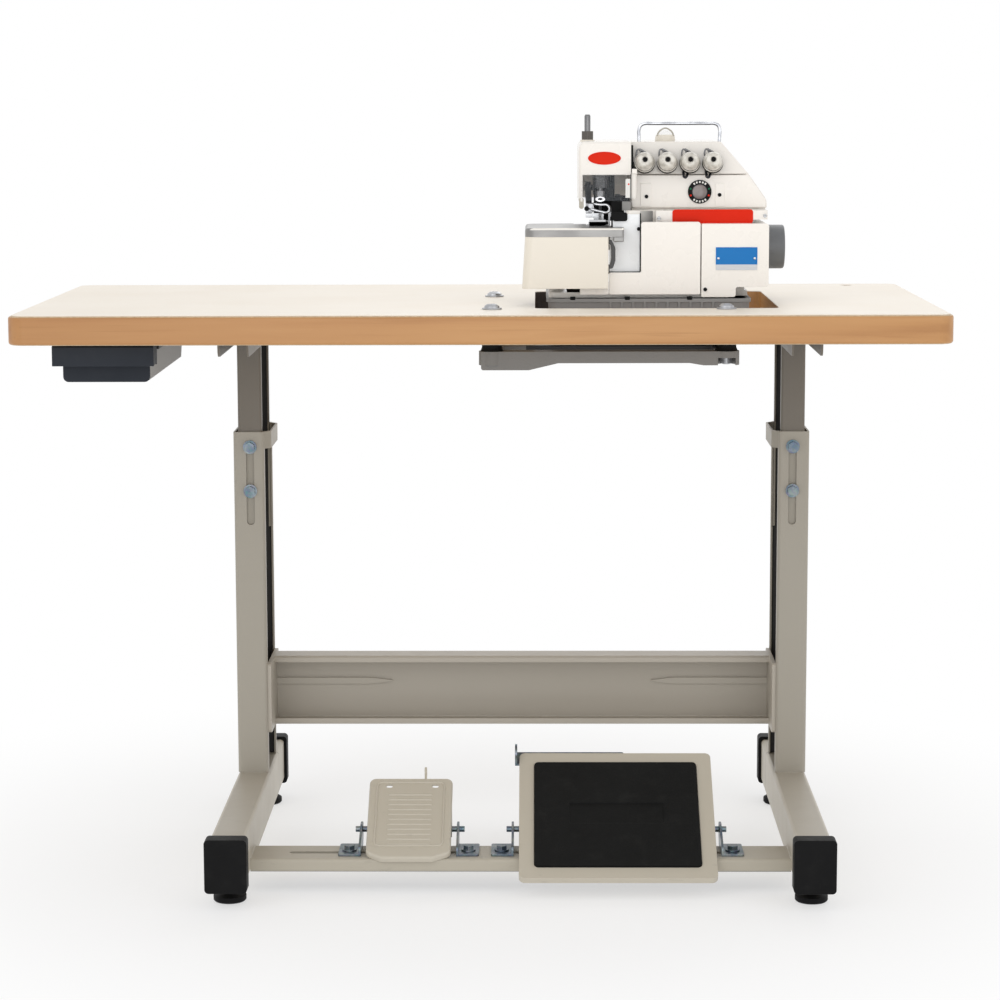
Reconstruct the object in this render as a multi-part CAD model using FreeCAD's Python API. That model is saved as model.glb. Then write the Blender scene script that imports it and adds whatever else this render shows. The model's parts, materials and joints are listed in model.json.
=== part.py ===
import FreeCAD
import Part
import math
import os

os.makedirs("parts", exist_ok=True)
V = FreeCAD.Vector

# Table top
TABLE_WIDTH = 1200.0
TABLE_DEPTH = 600.0
TABLE_HEIGHT = 765.0
TABLE_THICK = 38.0
TABLE_CORNER = 22.0
EDGE_ROUND = 4.0
LAMINATE_THICK = 1.2
LAMINATE_INSET = 4.5

# Stand
STAND_OFFSET = 50.0
STAND_WIDTH = 804.0
FOOT_LENGTH = 627.0
FOOT_OVERHANG = 35.0
FOOT_WIDTH = 46.0
FOOT_TALL = 62.0
FOOT_LIFT = 27.0
STEEL_WALL = 2.5
CAP_WALL = 4.5
CAP_CORNER = 5.5
CAP_DEPTH = 26.0
GLIDE_DISC_R = 21.5
GLIDE_STEM_R = 5.0
GLIDE_FROM_END = 52.0
LEG_WIDTH = 43.0
LEG_DEPTH = 130.0
LEG_FRONT = 58.0
LEG_TOP = 575.0
LEG_LIP = 12.0
LEG_BEND = 5.0
STRAP_TALL = 24.0
STRAP_BULGE = 9.0
INNER_GAP = 4.0
INNER_PLAY = 0.6
INNER_OVERLAP = 150.0
HEIGHT_DROP = 40.0
CLAMP_BOLT_R = 4.0
CLAMP_BOLT_PITCH = 62.0
CLAMP_BOLT_DOWN = 21.0
BEARER_WIDTH = 41.0
BEARER_TALL = 29.0
BEARER_FRONT = -148.0
BEARER_LENGTH = 408.0
BEARER_NOSE = 10.0
BEAM_BASE = 145.0
BEAM_TALL = 100.0
BEAM_DEPTH = 44.0
BEAM_SET = 60.0
BEAM_LIP = 9.0
BEAM_RIB_LENGTH = 180.0
BEAM_RIB_TALL = 9.0
BEAM_RIB_RISE = 52.0
BEAM_PLATE = 5.0

# Treadles
BAR_DEPTH = 70.0
BAR_TALL = 18.0
BAR_SET = 90.0
SLOT_WIDTH = 10.0
PIVOT_SET = 72.5
PIVOT_RISE = 21.5
PIVOT_DROP = 26.0
PIN_R = 4.0
TREADLE_TILT = 31.0
TREADLE_X = 178.0
TREADLE_WIDTH = 260.0
TREADLE_FORE = 115.0
TREADLE_AFT = 119.0
TREADLE_SHEET = 4.0
TREADLE_LIP = 9.0
MAT_MARGIN = 20.0
MAT_THICK = 5.0
MAT_PANEL_WIDTH = 126.0
MAT_PANEL_DEPTH = 38.0
MAT_PANEL_SINK = 1.2
LIFT_X = -98.0
LIFT_WIDTH = 112.0
LIFT_HALF = 71.0
LIFT_RIBS = 11
LIFT_RIB_LENGTH = 58.0
LIFT_RIB_R = 2.2
LIFT_EDGE = 8.0
LIFT_HOLE_SET = 27.0
BRACKET_PLATE = 3.0
BRACKET_GAP = 7.0
BRACKET_FOOT = 30.0

# Drawer
DRAWER_FROM_END = 118.0
DRAWER_WIDTH = 112.0
DRAWER_DEPTH = 355.0
DRAWER_TALL = 46.0
DRAWER_SET = 30.0
DRAWER_WALL = 2.5
DRAWER_FLANGE = 8.0
FACE_DEPTH = 34.0
FACE_SHEET = 4.0
FACE_LIP = 26.0
FACE_SIDE = 9.0
FACE_CORNER = 7.0
RAIL_SHEET = 2.0

# Head opening and hanging frame
CUT_LEFT = 70.0
CUT_RIGHT = 388.0
CUT_SET = 115.0
CUT_DEPTH = 330.0
CUT_CORNER = 10.0
HANG_BOLT_R = 5.0
HANG_CUSHION = 16.0
HEAD_CUSHION = 10.0
HANG_TALL = 18.0
HANG_BAR = 28.0
NUT_POCKET = 9.5
NUT_POCKET_R = 11.5
THREAD_STAND_R = 8.5
THREAD_STAND_SET = 78.0
THREAD_STAND_BACK = 37.0

# Head, measured from the pan corner, the table top and the needle
PAN_GAP = 15.0
PAN_WIDTH = 269.0
PAN_DEPTH = 245.0
PAN_FRONT_SET = 35.0
PAN_RISE = 10.0
PAN_WALL = 4.0
PAN_DRAFT = 5.0
BED_FLANGE = 7.0
PLATE_RISE = 103.0
BED_RISE = 124.0
ARM_RISE = 213.0
NEEDLE_SET_X = 72.0
NEEDLE_SET_Y = 84.0
BODY_SET = 33.0
COLUMN_SET = 40.0
HEAD_REACH = 221.0
WALL = 6.0
COVER_WALL = 3.0
SHAFT_R = 8.0
SHAFT_SET_Y = 46.0
SHAFT_RISE = 71.0
RUN_FIT = 0.05
WHEEL_R = 29.5
WHEEL_REACH = 249.0
KNOB_R = 12.5
KNOB_PITCH = 30.0
KNOB_RISE = 183.0
LEAN = 14.0
LEAN_RISE = 171.0
STUD_R = 3.0
NEEDLE_R = 0.6
NEEDLE_STROKE = 22.0
BAR_R = 3.5
SCREW_R = 2.5

# Shared lines worked out from the sizes above
TABLE_UNDER = TABLE_HEIGHT - TABLE_THICK
TABLE_FRONT = -TABLE_DEPTH / 2
ORIGIN_SHIFT = FOOT_OVERHANG / 2
FOOT_FRONT = TABLE_FRONT - FOOT_OVERHANG
BAR_FRONT = FOOT_FRONT + BAR_SET
DRAWER_FRONT_Y = TABLE_FRONT + DRAWER_SET
DRAWER_X = DRAWER_FROM_END - TABLE_WIDTH / 2
CUT_FRONT = TABLE_FRONT + CUT_SET
CUT_BACK = CUT_FRONT + CUT_DEPTH
FOOT_TOP = FOOT_LIFT + FOOT_TALL
LEG_BACK = LEG_FRONT + LEG_DEPTH
BAR_TOP = FOOT_LIFT + BAR_TALL
PIVOT_Y = BAR_FRONT + PIVOT_SET
PIVOT_Z = BAR_TOP + PIVOT_RISE
HANG_TOP = TABLE_UNDER - HANG_CUSHION
PAN_X = CUT_LEFT + PAN_GAP
PAN_Y = CUT_FRONT + PAN_FRONT_SET
PAN_Z = HANG_TOP + HEAD_CUSHION
PAN_TOP = TABLE_HEIGHT + PAN_RISE
PAN_END = PAN_X + PAN_WIDTH
PAN_BACK = PAN_Y + PAN_DEPTH
NX = PAN_X + NEEDLE_SET_X
NY = PAN_Y + NEEDLE_SET_Y
PLATE = TABLE_HEIGHT + PLATE_RISE
BED_TOP = TABLE_HEIGHT + BED_RISE
ARM_TOP = TABLE_HEIGHT + ARM_RISE
BODY_X = NX + BODY_SET
COLUMN_X = NX + COLUMN_SET
HEAD_END = NX + HEAD_REACH
SHAFT_Y = NY + SHAFT_SET_Y
SHAFT_Z = TABLE_HEIGHT + SHAFT_RISE
PANEL_Y = NY - 19.0
HANG_POINTS = (
    (CUT_LEFT - 56.0, CUT_FRONT - 14.0),
    (CUT_RIGHT - 70.0, CUT_FRONT - 14.0),
    (CUT_LEFT - 56.0, CUT_FRONT + 223.0),
    (CUT_RIGHT - 70.0, CUT_BACK + 20.0),
)
ARM_Y = CUT_FRONT + 75.0
REAR_ARM_Y = CUT_FRONT + 223.0
HEAD_PADS = (
    (PAN_X + 30.0, ARM_Y),
    (PAN_END - 42.0, ARM_Y),
    (PAN_X + 30.0, REAR_ARM_Y),
    (PAN_END - 42.0, REAR_ARM_Y),
)


def place(plane, u, v, w):
    """A point of a flat outline drawn in a plane named by the axis it is pulled along."""
    if plane == "z":
        return V(u, v, w)
    if plane == "y":
        return V(u, w, v)
    return V(w, u, v)


def corner_points(points, i):
    """Start, middle and end of the rounded corner of an outline, or its bare point."""
    here = V(points[i][0], points[i][1], 0)
    radius = points[i][2] if len(points[i]) > 2 else 0
    if not radius:
        return [here]
    last = points[i - 1]
    following = points[(i + 1) % len(points)]
    back = V(last[0], last[1], 0) - here
    ahead = V(following[0], following[1], 0) - here
    back = back * (1 / back.Length)
    ahead = ahead * (1 / ahead.Length)
    half = back.getAngle(ahead) / 2
    run = radius / math.tan(half)
    middle = back + ahead
    middle = middle * (1 / middle.Length)
    reach = radius / math.sin(half) - radius
    return [here + back * run, here + middle * reach, here + ahead * run]


def outline(plane, points, w):
    """A closed wire of straight runs and rounded corners at one height of the plane."""
    corners = [corner_points(points, i) for i in range(len(points))]
    edges = []
    for i, corner in enumerate(corners):
        here = [place(plane, p.x, p.y, w) for p in corner]
        nxt = corners[(i + 1) % len(corners)][0]
        if len(here) == 3:
            edges.append(Part.Arc(here[0], here[1], here[2]).toShape())
        target = place(plane, nxt.x, nxt.y, w)
        if (target - here[-1]).Length > 1e-6:
            edges.append(Part.LineSegment(here[-1], target).toShape())
    return Part.Wire(edges)


def plate(plane, points, a, b):
    """A flat outline pulled from one station to another along its axis."""
    face = Part.Face(outline(plane, points, a))
    return face.extrude(place(plane, 0, 0, b - a))


def box(x0, x1, y0, y1, z0, z1):
    return Part.makeBox(x1 - x0, y1 - y0, z1 - z0, V(x0, y0, z0))


def rounded(x0, x1, y0, y1, r):
    """Corner points of a rounded rectangle."""
    return [(x0, y0, r), (x1, y0, r), (x1, y1, r), (x0, y1, r)]


def rod(axis, x, y, z, radius, length):
    """A round bar that starts at the point and runs along the axis."""
    way = {"x": V(1, 0, 0), "y": V(0, 1, 0), "z": V(0, 0, 1)}[axis]
    return Part.makeCylinder(radius, length, V(x, y, z), way)


def turned(axis, x, y, z, points):
    """A solid of revolution about an axis through the point; points are (along, radius)."""
    if axis == "x":
        spots = [V(x + a, y, z + r) for a, r in points]
        way = V(1, 0, 0)
    elif axis == "y":
        spots = [V(x + r, y + a, z) for a, r in points]
        way = V(0, 1, 0)
    else:
        spots = [V(x + r, y, z + a) for a, r in points]
        way = V(0, 0, 1)
    face = Part.Face(Part.makePolygon(spots + [spots[0]]))
    return face.revolve(V(x, y, z), way, 360)


def hexagon(axis, x, y, z, flats, length):
    """A hexagonal head or nut that starts at the point and runs along the axis."""
    ring = []
    for k in range(6):
        angle = math.radians(60 * k + 30)
        ring.append((flats / math.sqrt(3) * math.cos(angle), flats / math.sqrt(3) * math.sin(angle)))
    if axis == "z":
        return plate("z", [(x + a, y + b) for a, b in ring], z, z + length)
    if axis == "y":
        return plate("y", [(x + a, z + b) for a, b in ring], y, y + length)
    return plate("x", [(y + a, z + b) for a, b in ring], x, x + length)


def join(*shapes):
    whole = shapes[0].multiFuse(list(shapes[1:]))
    return whole.removeSplitter()


def bent_rod(points, bend, radius):
    """A round wire through the points with every corner bent to one radius."""
    edges = []
    start = points[0]
    for i in range(1, len(points) - 1):
        here = points[i]
        back = points[i - 1] - here
        ahead = points[i + 1] - here
        back = back * (1 / back.Length)
        ahead = ahead * (1 / ahead.Length)
        half = back.getAngle(ahead) / 2
        run = bend / math.tan(half)
        middle = back + ahead
        middle = middle * (1 / middle.Length)
        reach = bend / math.sin(half) - bend
        edges.append(Part.LineSegment(start, here + back * run).toShape())
        edges.append(Part.Arc(here + back * run, here + middle * reach, here + ahead * run).toShape())
        start = here + ahead * run
    edges.append(Part.LineSegment(start, points[-1]).toShape())
    path = Part.Wire(edges)
    ring = Part.Wire(Part.makeCircle(radius, points[0], points[1] - points[0]))
    return path.makePipeShell([ring], True, False)


def mirrored_x(shape, x):
    return shape.mirror(V(x, 0, 0), V(1, 0, 0))


# Left side stations of the stand; the right side is their mirror image
LEFT = STAND_OFFSET - STAND_WIDTH / 2
LEG_IN = LEFT + LEG_WIDTH
FOOT_IN = LEFT + FOOT_WIDTH
GLIDE_X = LEFT + FOOT_WIDTH / 2
INNER_X0 = LEFT + STEEL_WALL + INNER_GAP
INNER_X1 = LEG_IN - STEEL_WALL - INNER_PLAY
INNER_Y0 = LEG_FRONT + STEEL_WALL + INNER_PLAY
INNER_Y1 = LEG_BACK - STEEL_WALL - INNER_PLAY
CLAMP_X = (INNER_X0 + INNER_X1) / 2
CLAMP_TOP = LEG_TOP - CLAMP_BOLT_DOWN
CLAMP_LOW = CLAMP_TOP - CLAMP_BOLT_PITCH
GLIDE_SPOTS = (FOOT_FRONT + GLIDE_FROM_END, FOOT_FRONT + FOOT_LENGTH - GLIDE_FROM_END)


def channel(x0, x1, y0, y1, wall, lip, bend, z0, z1):
    """An upright bent-sheet channel open on its +X side, with turned-in lips."""
    outer = plate("z", rounded(x0, x1, y0, y1, bend), z0, z1)
    inner = plate("z", rounded(x0 + wall, x1 - wall, y0 + wall, y1 - wall, bend - wall), z0, z1)
    mouth = box(x1 - wall - 1, x1 + 1, y0 + lip, y1 - lip, z0, z1)
    return outer.cut(inner).cut(mouth)


def leg_frame():
    """Foot rail, lipped upright channel and the strap across its mouth, welded."""
    foot_y0 = FOOT_FRONT + CAP_WALL
    foot_y1 = FOOT_FRONT + FOOT_LENGTH - CAP_WALL
    foot = plate("y", rounded(LEFT, FOOT_IN, FOOT_LIFT, FOOT_TOP, 5), foot_y0, foot_y1)
    wall = STEEL_WALL
    hollow = rounded(LEFT + wall, FOOT_IN - wall, FOOT_LIFT + wall, FOOT_TOP - wall, 5 - wall)
    foot = foot.cut(plate("y", hollow, foot_y0, foot_y1))
    for y in GLIDE_SPOTS:
        foot = foot.cut(rod("z", GLIDE_X, y, FOOT_LIFT - 1, GLIDE_STEM_R + 0.3, wall + 2))
    upright = channel(LEFT, LEG_IN, LEG_FRONT, LEG_BACK, wall, LEG_LIP, LEG_BEND, FOOT_TOP, LEG_TOP)
    reach = CLAMP_LOW - HEIGHT_DROP - CLAMP_BOLT_R - 4
    slot = rounded(CLAMP_X - 5.5, CLAMP_X + 5.5, reach, CLAMP_TOP + CLAMP_BOLT_R + 2, 5.4)
    upright = upright.cut(plate("y", slot, LEG_FRONT - 1, LEG_FRONT + wall + 1))
    bulge = LEG_IN + STRAP_BULGE
    ring = [
        (LEG_IN - 1, LEG_FRONT + 5), (bulge, LEG_FRONT + 16, 6),
        (bulge, LEG_BACK - 16, 6), (LEG_IN - 1, LEG_BACK - 5),
    ]
    strap = plate("z", ring, LEG_TOP - STRAP_TALL, LEG_TOP)
    core = [
        (LEG_IN - 2, LEG_FRONT + 9), (bulge - wall, LEG_FRONT + 18, 4),
        (bulge - wall, LEG_BACK - 18, 4), (LEG_IN - 2, LEG_BACK - 9),
    ]
    strap = strap.cut(plate("z", core, LEG_TOP - STRAP_TALL - 1, LEG_TOP + 1))
    strap = strap.cut(box(INNER_X0, LEG_IN - wall, LEG_FRONT, LEG_BACK, 0, LEG_TOP + 1))
    return join(foot, upright, strap)


def end_caps():
    """Black sleeves over the four ends of the foot rails."""
    caps = []
    grow = CAP_WALL
    y0 = FOOT_FRONT
    y1 = FOOT_FRONT + FOOT_LENGTH
    for x0, x1 in ((LEFT, FOOT_IN), (2 * STAND_OFFSET - FOOT_IN, 2 * STAND_OFFSET - LEFT)):
        for front, back, inside in ((y0, y0 + CAP_DEPTH, y0 + grow), (y1, y1 - CAP_DEPTH, y1 - grow)):
            shell = rounded(x0 - grow, x1 + grow, FOOT_LIFT - grow, FOOT_TOP + grow, CAP_CORNER)
            cap = plate("y", shell, min(front, back), max(front, back))
            rail = rounded(x0, x1, FOOT_LIFT, FOOT_TOP, 5)
            pocket = plate("y", rail, min(inside, back), max(inside, back))
            caps.append(cap.cut(pocket))
    return Part.makeCompound(caps)


def levelling_foot(x, y):
    """Glide disc, cone neck and threaded stem turned as one piece."""
    profile = [(0, 0), (0, GLIDE_DISC_R - 2), (2, GLIDE_DISC_R), (8, GLIDE_DISC_R), (12, 15), (13, 9)]
    profile += [
        (FOOT_LIFT, 9), (FOOT_LIFT, GLIDE_STEM_R),
        (FOOT_LIFT + 38, GLIDE_STEM_R), (FOOT_LIFT + 40, 0),
    ]
    return turned("z", x, y, 0, profile)


def rear_beam():
    """Lipped channel open to the front, with a pressed rib and an end plate across each leg."""
    x0 = LEG_IN
    x1 = 2 * STAND_OFFSET - LEG_IN
    y0 = LEG_FRONT + BEAM_SET
    y1 = y0 + BEAM_DEPTH
    z1 = BEAM_BASE + BEAM_TALL
    wall = STEEL_WALL
    outer = plate("x", rounded(y0, y1, BEAM_BASE, z1, 5), x0, x1)
    inner = plate("x", rounded(y0 + wall, y1 - wall, BEAM_BASE + wall, z1 - wall, 5 - wall), x0, x1)
    mouth = box(x0, x1, y0 - 1, y0 + wall + 1, BEAM_BASE + BEAM_LIP, z1 - BEAM_LIP)
    beam = outer.cut(inner).cut(mouth)
    pieces = [beam]
    low = BEAM_BASE + BEAM_RIB_RISE
    high = low + BEAM_RIB_TALL
    mid = low + BEAM_RIB_TALL / 2
    rib = [(x0, low), (x0 + BEAM_RIB_LENGTH - 40, low, 60), (x0 + BEAM_RIB_LENGTH, mid, 1)]
    rib += [(x0 + BEAM_RIB_LENGTH - 40, high, 60), (x0, high)]
    pressed = plate("y", rib, y1 - wall - 4, y1 - 1)
    pieces += [pressed, mirrored_x(pressed, STAND_OFFSET)]
    flange = rounded(LEG_FRONT + LEG_BEND, LEG_BACK - LEG_BEND, BEAM_BASE, z1, 5)
    for a in (x0, x1 - BEAM_PLATE):
        pieces.append(plate("x", flange, a, a + BEAM_PLATE))
    return join(*pieces)


def treadle_bar():
    """Flat tube between the foot rails, slotted along its top for the brackets."""
    x0 = FOOT_IN
    x1 = 2 * STAND_OFFSET - FOOT_IN
    wall = STEEL_WALL
    back = BAR_FRONT + BAR_DEPTH
    tube = plate("x", rounded(BAR_FRONT, back, FOOT_LIFT, BAR_TOP, 4), x0, x1)
    core = rounded(BAR_FRONT + wall, back - wall, FOOT_LIFT + wall, BAR_TOP - wall, 4 - wall)
    tube = tube.cut(plate("x", core, x0, x1))
    for a, b in ((x0 + 50, LIFT_BOLTS[1] + 12), (TREADLE_BOLTS[0] - 12, TREADLE_BOLTS[1] + 12)):
        slot = rounded(a, b, SLOT_Y - SLOT_WIDTH / 2, SLOT_Y + SLOT_WIDTH / 2, SLOT_WIDTH / 2 - 0.1)
        tube = tube.cut(plate("z", slot, BAR_TOP - wall - 1, BAR_TOP + 1))
    return tube


SLOT_Y = BAR_FRONT + BAR_DEPTH / 2 - 2
LIFT_EARS = (LIFT_X - LIFT_WIDTH / 2 - BRACKET_GAP, LIFT_X + LIFT_WIDTH / 2 + BRACKET_GAP)
TREADLE_EARS = (TREADLE_X - TREADLE_WIDTH / 2 - BRACKET_GAP, TREADLE_X + TREADLE_WIDTH / 2 + BRACKET_GAP)
LIFT_BOLTS = (LIFT_EARS[0] - 16, LIFT_EARS[1] + 16)
TREADLE_BOLTS = (TREADLE_EARS[0] - 16, TREADLE_EARS[1] + 16)


def bracket(ear_x, way):
    """Bent zinc bracket with its foot on the side that way names, and a riveted pivot stud."""
    base = BAR_TOP
    top = PIVOT_Z
    ear = [
        (BAR_FRONT + 12, base, 0), (PIVOT_Y - 1, base, 3),
        (PIVOT_Y + 10, top - 4, 6), (PIVOT_Y + 9, top + 10, 9),
    ]
    ear += [(PIVOT_Y - 10, top + 10, 9), (BAR_FRONT + 12, base + 12, 6)]
    x_ear = sorted((ear_x, ear_x + way * BRACKET_PLATE))
    upright = plate("x", ear, x_ear[0], x_ear[1])
    x_foot = sorted((ear_x, ear_x + way * BRACKET_FOOT))
    sole = rounded(x_foot[0], x_foot[1], BAR_FRONT + 12, PIVOT_Y - 5, 3)
    foot = plate("z", sole, base, base + BRACKET_PLATE)
    foot = foot.cut(rod("z", ear_x + way * 16, SLOT_Y, base - 1, CLAMP_BOLT_R + 0.3, BRACKET_PLATE + 2))
    x_pin = sorted((ear_x + way * 10, ear_x - way * (BRACKET_GAP + 8)))
    pin = rod("x", x_pin[0], PIVOT_Y, top, PIN_R, x_pin[1] - x_pin[0])
    return join(upright, foot, pin)


def treadle_brackets():
    pieces = []
    for ears in (LIFT_EARS, TREADLE_EARS):
        pieces.append(bracket(ears[0], -1))
        pieces.append(bracket(ears[1], 1))
    return Part.makeCompound(pieces)


def hex_bolt(axis, x, y, z, way, grip):
    """Hexagon bolt with washer and nut through a grip, from a point on the washer face."""
    pieces = []
    start = {"x": x, "y": y, "z": z}[axis]
    spots = {"washer": (0, 1.6), "head": (1.6, 7.1), "shank": (-grip - 8, 0), "nut": (-grip - 6.5, -grip)}

    def station(name):
        a, b = spots[name]
        lo, hi = sorted((start + way * a, start + way * b))
        base = [x, y, z]
        base["xyz".index(axis)] = lo
        return base, hi - lo

    base, length = station("washer")
    washer = rod(axis, base[0], base[1], base[2], 9.5, length)
    base, length = station("head")
    head = hexagon(axis, base[0], base[1], base[2], 13, length)
    base, length = station("shank")
    shank = rod(axis, base[0], base[1], base[2], CLAMP_BOLT_R, length)
    pieces.append(join(washer, head, shank))
    base, length = station("nut")
    nut = hexagon(axis, base[0], base[1], base[2], 13, length)
    pieces.append(nut.cut(rod(axis, base[0], base[1], base[2], CLAMP_BOLT_R, length)))
    return pieces


def bracket_bolts():
    """Bolts of the treadle brackets."""
    pieces = []
    for x in LIFT_BOLTS + TREADLE_BOLTS:
        pieces += hex_bolt("z", x, SLOT_Y, BAR_TOP + BRACKET_PLATE, 1, BRACKET_PLATE + STEEL_WALL)
    return Part.makeCompound(pieces)


def tilt(shape):
    """Takes a foot plate drawn flat over its pivot to its resting slope."""
    shape.rotate(V(0, 0, -PIVOT_DROP), V(1, 0, 0), TREADLE_TILT)
    shape.translate(V(0, PIVOT_Y, PIVOT_Z + PIVOT_DROP))
    return shape


def pivot_lugs(x0, x1, thick):
    """Two ears below a foot plate with holes for the pivot studs."""
    lugs = []
    for a in (x0, x1 - thick):
        ear = [(-26, 0, 0), (26, 0, 0), (9, -PIVOT_DROP - 8, 8), (-9, -PIVOT_DROP - 8, 8)]
        lug = plate("x", ear, a, a + thick)
        lugs.append(lug.cut(rod("x", a - 1, 0, -PIVOT_DROP, PIN_R + RUN_FIT, thick + 2)))
    return lugs


TREADLE_L = TREADLE_X - TREADLE_WIDTH / 2
TREADLE_R = TREADLE_X + TREADLE_WIDTH / 2


def treadle_plate():
    """Pressed foot plate with a bed for the mat, turned-down edge and pivot ears."""
    rim = rounded(TREADLE_L, TREADLE_R, -TREADLE_FORE, TREADLE_AFT, 8)
    skin = plate("z", rim, -TREADLE_SHEET, 0)
    m = MAT_MARGIN
    bed = rounded(TREADLE_L + m, TREADLE_R - m, -TREADLE_FORE + m, TREADLE_AFT - m, 6)
    skin = skin.cut(plate("z", bed, -2, 1))
    lip = plate("z", rim, -TREADLE_LIP, -TREADLE_SHEET)
    w = STEEL_WALL
    inside = rounded(TREADLE_L + w, TREADLE_R - w, -TREADLE_FORE + w, TREADLE_AFT - w, 6)
    lip = lip.cut(plate("z", inside, -TREADLE_LIP - 1, 1))
    left = TREADLE_L - 1
    right = TREADLE_R + 1
    back = TREADLE_AFT + 1
    low = -TREADLE_LIP - 1
    lip = lip.cut(box(left, right, -TREADLE_FORE + 12, back, low, -TREADLE_SHEET - 2))
    lip = lip.cut(box(left, right, TREADLE_AFT - 20, back, low, -TREADLE_SHEET))
    lugs = pivot_lugs(TREADLE_L, TREADLE_R, 4)
    lugs = [lug.cut(box(left, right, -40, 40, -TREADLE_SHEET + 0.5, 1)) for lug in lugs]
    return tilt(join(skin, lip, *lugs))


def treadle_mat():
    """Rubber mat with a sunk middle panel."""
    m = MAT_MARGIN + 0.4
    x0 = TREADLE_L + m
    x1 = TREADLE_R - m
    y0 = -TREADLE_FORE + m
    y1 = TREADLE_AFT - m
    mat = plate("z", rounded(x0, x1, y0, y1, 5.6), -2, MAT_THICK - 2)
    middle = (y0 + y1) / 2
    half = MAT_PANEL_WIDTH / 2
    deep = MAT_PANEL_DEPTH / 2
    panel = rounded(TREADLE_X - half, TREADLE_X + half, middle - deep, middle + deep, 3)
    return tilt(mat.cut(plate("z", panel, MAT_THICK - 2 - MAT_PANEL_SINK, MAT_THICK)))


def treadle_link():
    """Zinc strip under the rear edge with an upturned eye for the pull rod."""
    y0 = TREADLE_AFT - 18
    y1 = TREADLE_AFT + 6
    x1 = TREADLE_L + TREADLE_WIDTH * 0.55
    low = -TREADLE_SHEET - BRACKET_PLATE
    x0 = TREADLE_L - 6
    flat = [(x0, y0), (x1, y0, 4), (x1, y1, 4), (x0, y1)]
    strip = plate("z", flat, low, -TREADLE_SHEET)
    tab = [(y0, low, 0), (y1, low, 0), (y1, 17, 10), (y0, 17, 10)]
    eye = plate("x", tab, x0, x0 + BRACKET_PLATE)
    eye = eye.cut(rod("x", x0 - 1, (y0 + y1) / 2, 7, 4.2, BRACKET_PLATE + 2))
    return tilt(join(strip, eye))


def lift_plate():
    """Small pressed pedal: rounded skirt, cross ribs, two holes, nosed front and rear eye."""
    x0 = LIFT_X - LIFT_WIDTH / 2
    x1 = LIFT_X + LIFT_WIDTH / 2
    front = -LIFT_HALF
    ring = [(x0, front + 3, 9), (x0 + 20, front - 7, 8), (x1 - 24, front - 7, 8), (x1, front + 3, 9)]
    ring += [(x1, LIFT_HALF, 9), (x0, LIFT_HALF, 9)]
    pan = plate("z", ring, -LIFT_EDGE, 0)
    rims = [e for e in pan.Edges if e.BoundBox.ZMin > -0.01]
    pan = pan.makeFillet(3.5, rims)
    w = STEEL_WALL
    room = [
        (x0 + w, front + 5, 6), (x0 + 21, front - 4.5, 6),
        (x1 - 25, front - 4.5, 6), (x1 - w, front + 5, 6),
    ]
    room += [(x1 - w, LIFT_HALF - w, 6), (x0 + w, LIFT_HALF - w, 6)]
    pan = pan.cut(plate("z", room, -LIFT_EDGE - 1, -w))
    pieces = [pan]
    pitch = (2 * LIFT_HALF - 50) / (LIFT_RIBS - 1)
    half = LIFT_RIB_LENGTH / 2
    for k in range(LIFT_RIBS):
        y = -LIFT_HALF + 18 + k * pitch
        pieces.append(rod("x", LIFT_X - half, y, -LIFT_RIB_R / 2, LIFT_RIB_R, LIFT_RIB_LENGTH))
    ear = [(LIFT_HALF - 3, -w), (LIFT_HALF + 12, -w, 0), (LIFT_HALF + 12, 11, 5), (LIFT_HALF + 1, 11, 5)]
    eye = plate("x", ear, LIFT_X + 18, LIFT_X + 18 + BRACKET_PLATE)
    pieces.append(eye.cut(rod("x", LIFT_X + 17, LIFT_HALF + 6.5, 5, 2.6, 6)))
    for lug in pivot_lugs(x0, x1, 4):
        pieces.append(lug.cut(box(x0 - 1, x1 + 1, -40, 40, -4, 1)))
    whole = join(*pieces)
    for x in (x0 + LIFT_HOLE_SET, x1 - LIFT_HOLE_SET + 4):
        slot = rounded(x - 4.5, x + 4.5, LIFT_HALF - 19, LIFT_HALF - 13, 2.9)
        whole = whole.cut(plate("z", slot, -LIFT_EDGE, 3))
    return tilt(whole)


def inner_leg():
    """Sliding channel inside the leg, welded to the table bearer."""
    foot = LEG_TOP - INNER_OVERLAP
    wall = STEEL_WALL
    web = TABLE_UNDER - wall
    post = channel(INNER_X0, INNER_X1, INNER_Y0, INNER_Y1, wall, LEG_LIP, LEG_BEND - 1, foot, web + 1)
    for z in (CLAMP_TOP, CLAMP_LOW):
        post = post.cut(rod("y", CLAMP_X, INNER_Y0 - 1, z, CLAMP_BOLT_R + 0.2, wall + 2))
    x0 = (INNER_X0 + INNER_X1 - BEARER_WIDTH) / 2
    x1 = x0 + BEARER_WIDTH
    rear = BEARER_FRONT + BEARER_LENGTH
    low = TABLE_UNDER - BEARER_TALL
    side = [(BEARER_FRONT, TABLE_UNDER), (BEARER_FRONT + 6, low, BEARER_NOSE)]
    side += [(rear - 6, low, BEARER_NOSE), (rear, TABLE_UNDER)]
    bearer = plate("x", side, x0, x1)
    bearer = bearer.cut(box(x0 + wall, x1 - wall, BEARER_FRONT - 1, rear + 1, web - BEARER_TALL - 5, web))
    return join(bearer, post)


def clamp_bolts():
    """Height clamping bolts of both legs."""
    pieces = []
    for x in (CLAMP_X, 2 * STAND_OFFSET - CLAMP_X):
        for z in (CLAMP_TOP, CLAMP_LOW):
            pieces += hex_bolt("y", x, LEG_FRONT - 0.1, z, -1, INNER_Y0 + STEEL_WALL - LEG_FRONT + 0.1)
    return Part.makeCompound(pieces)


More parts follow.
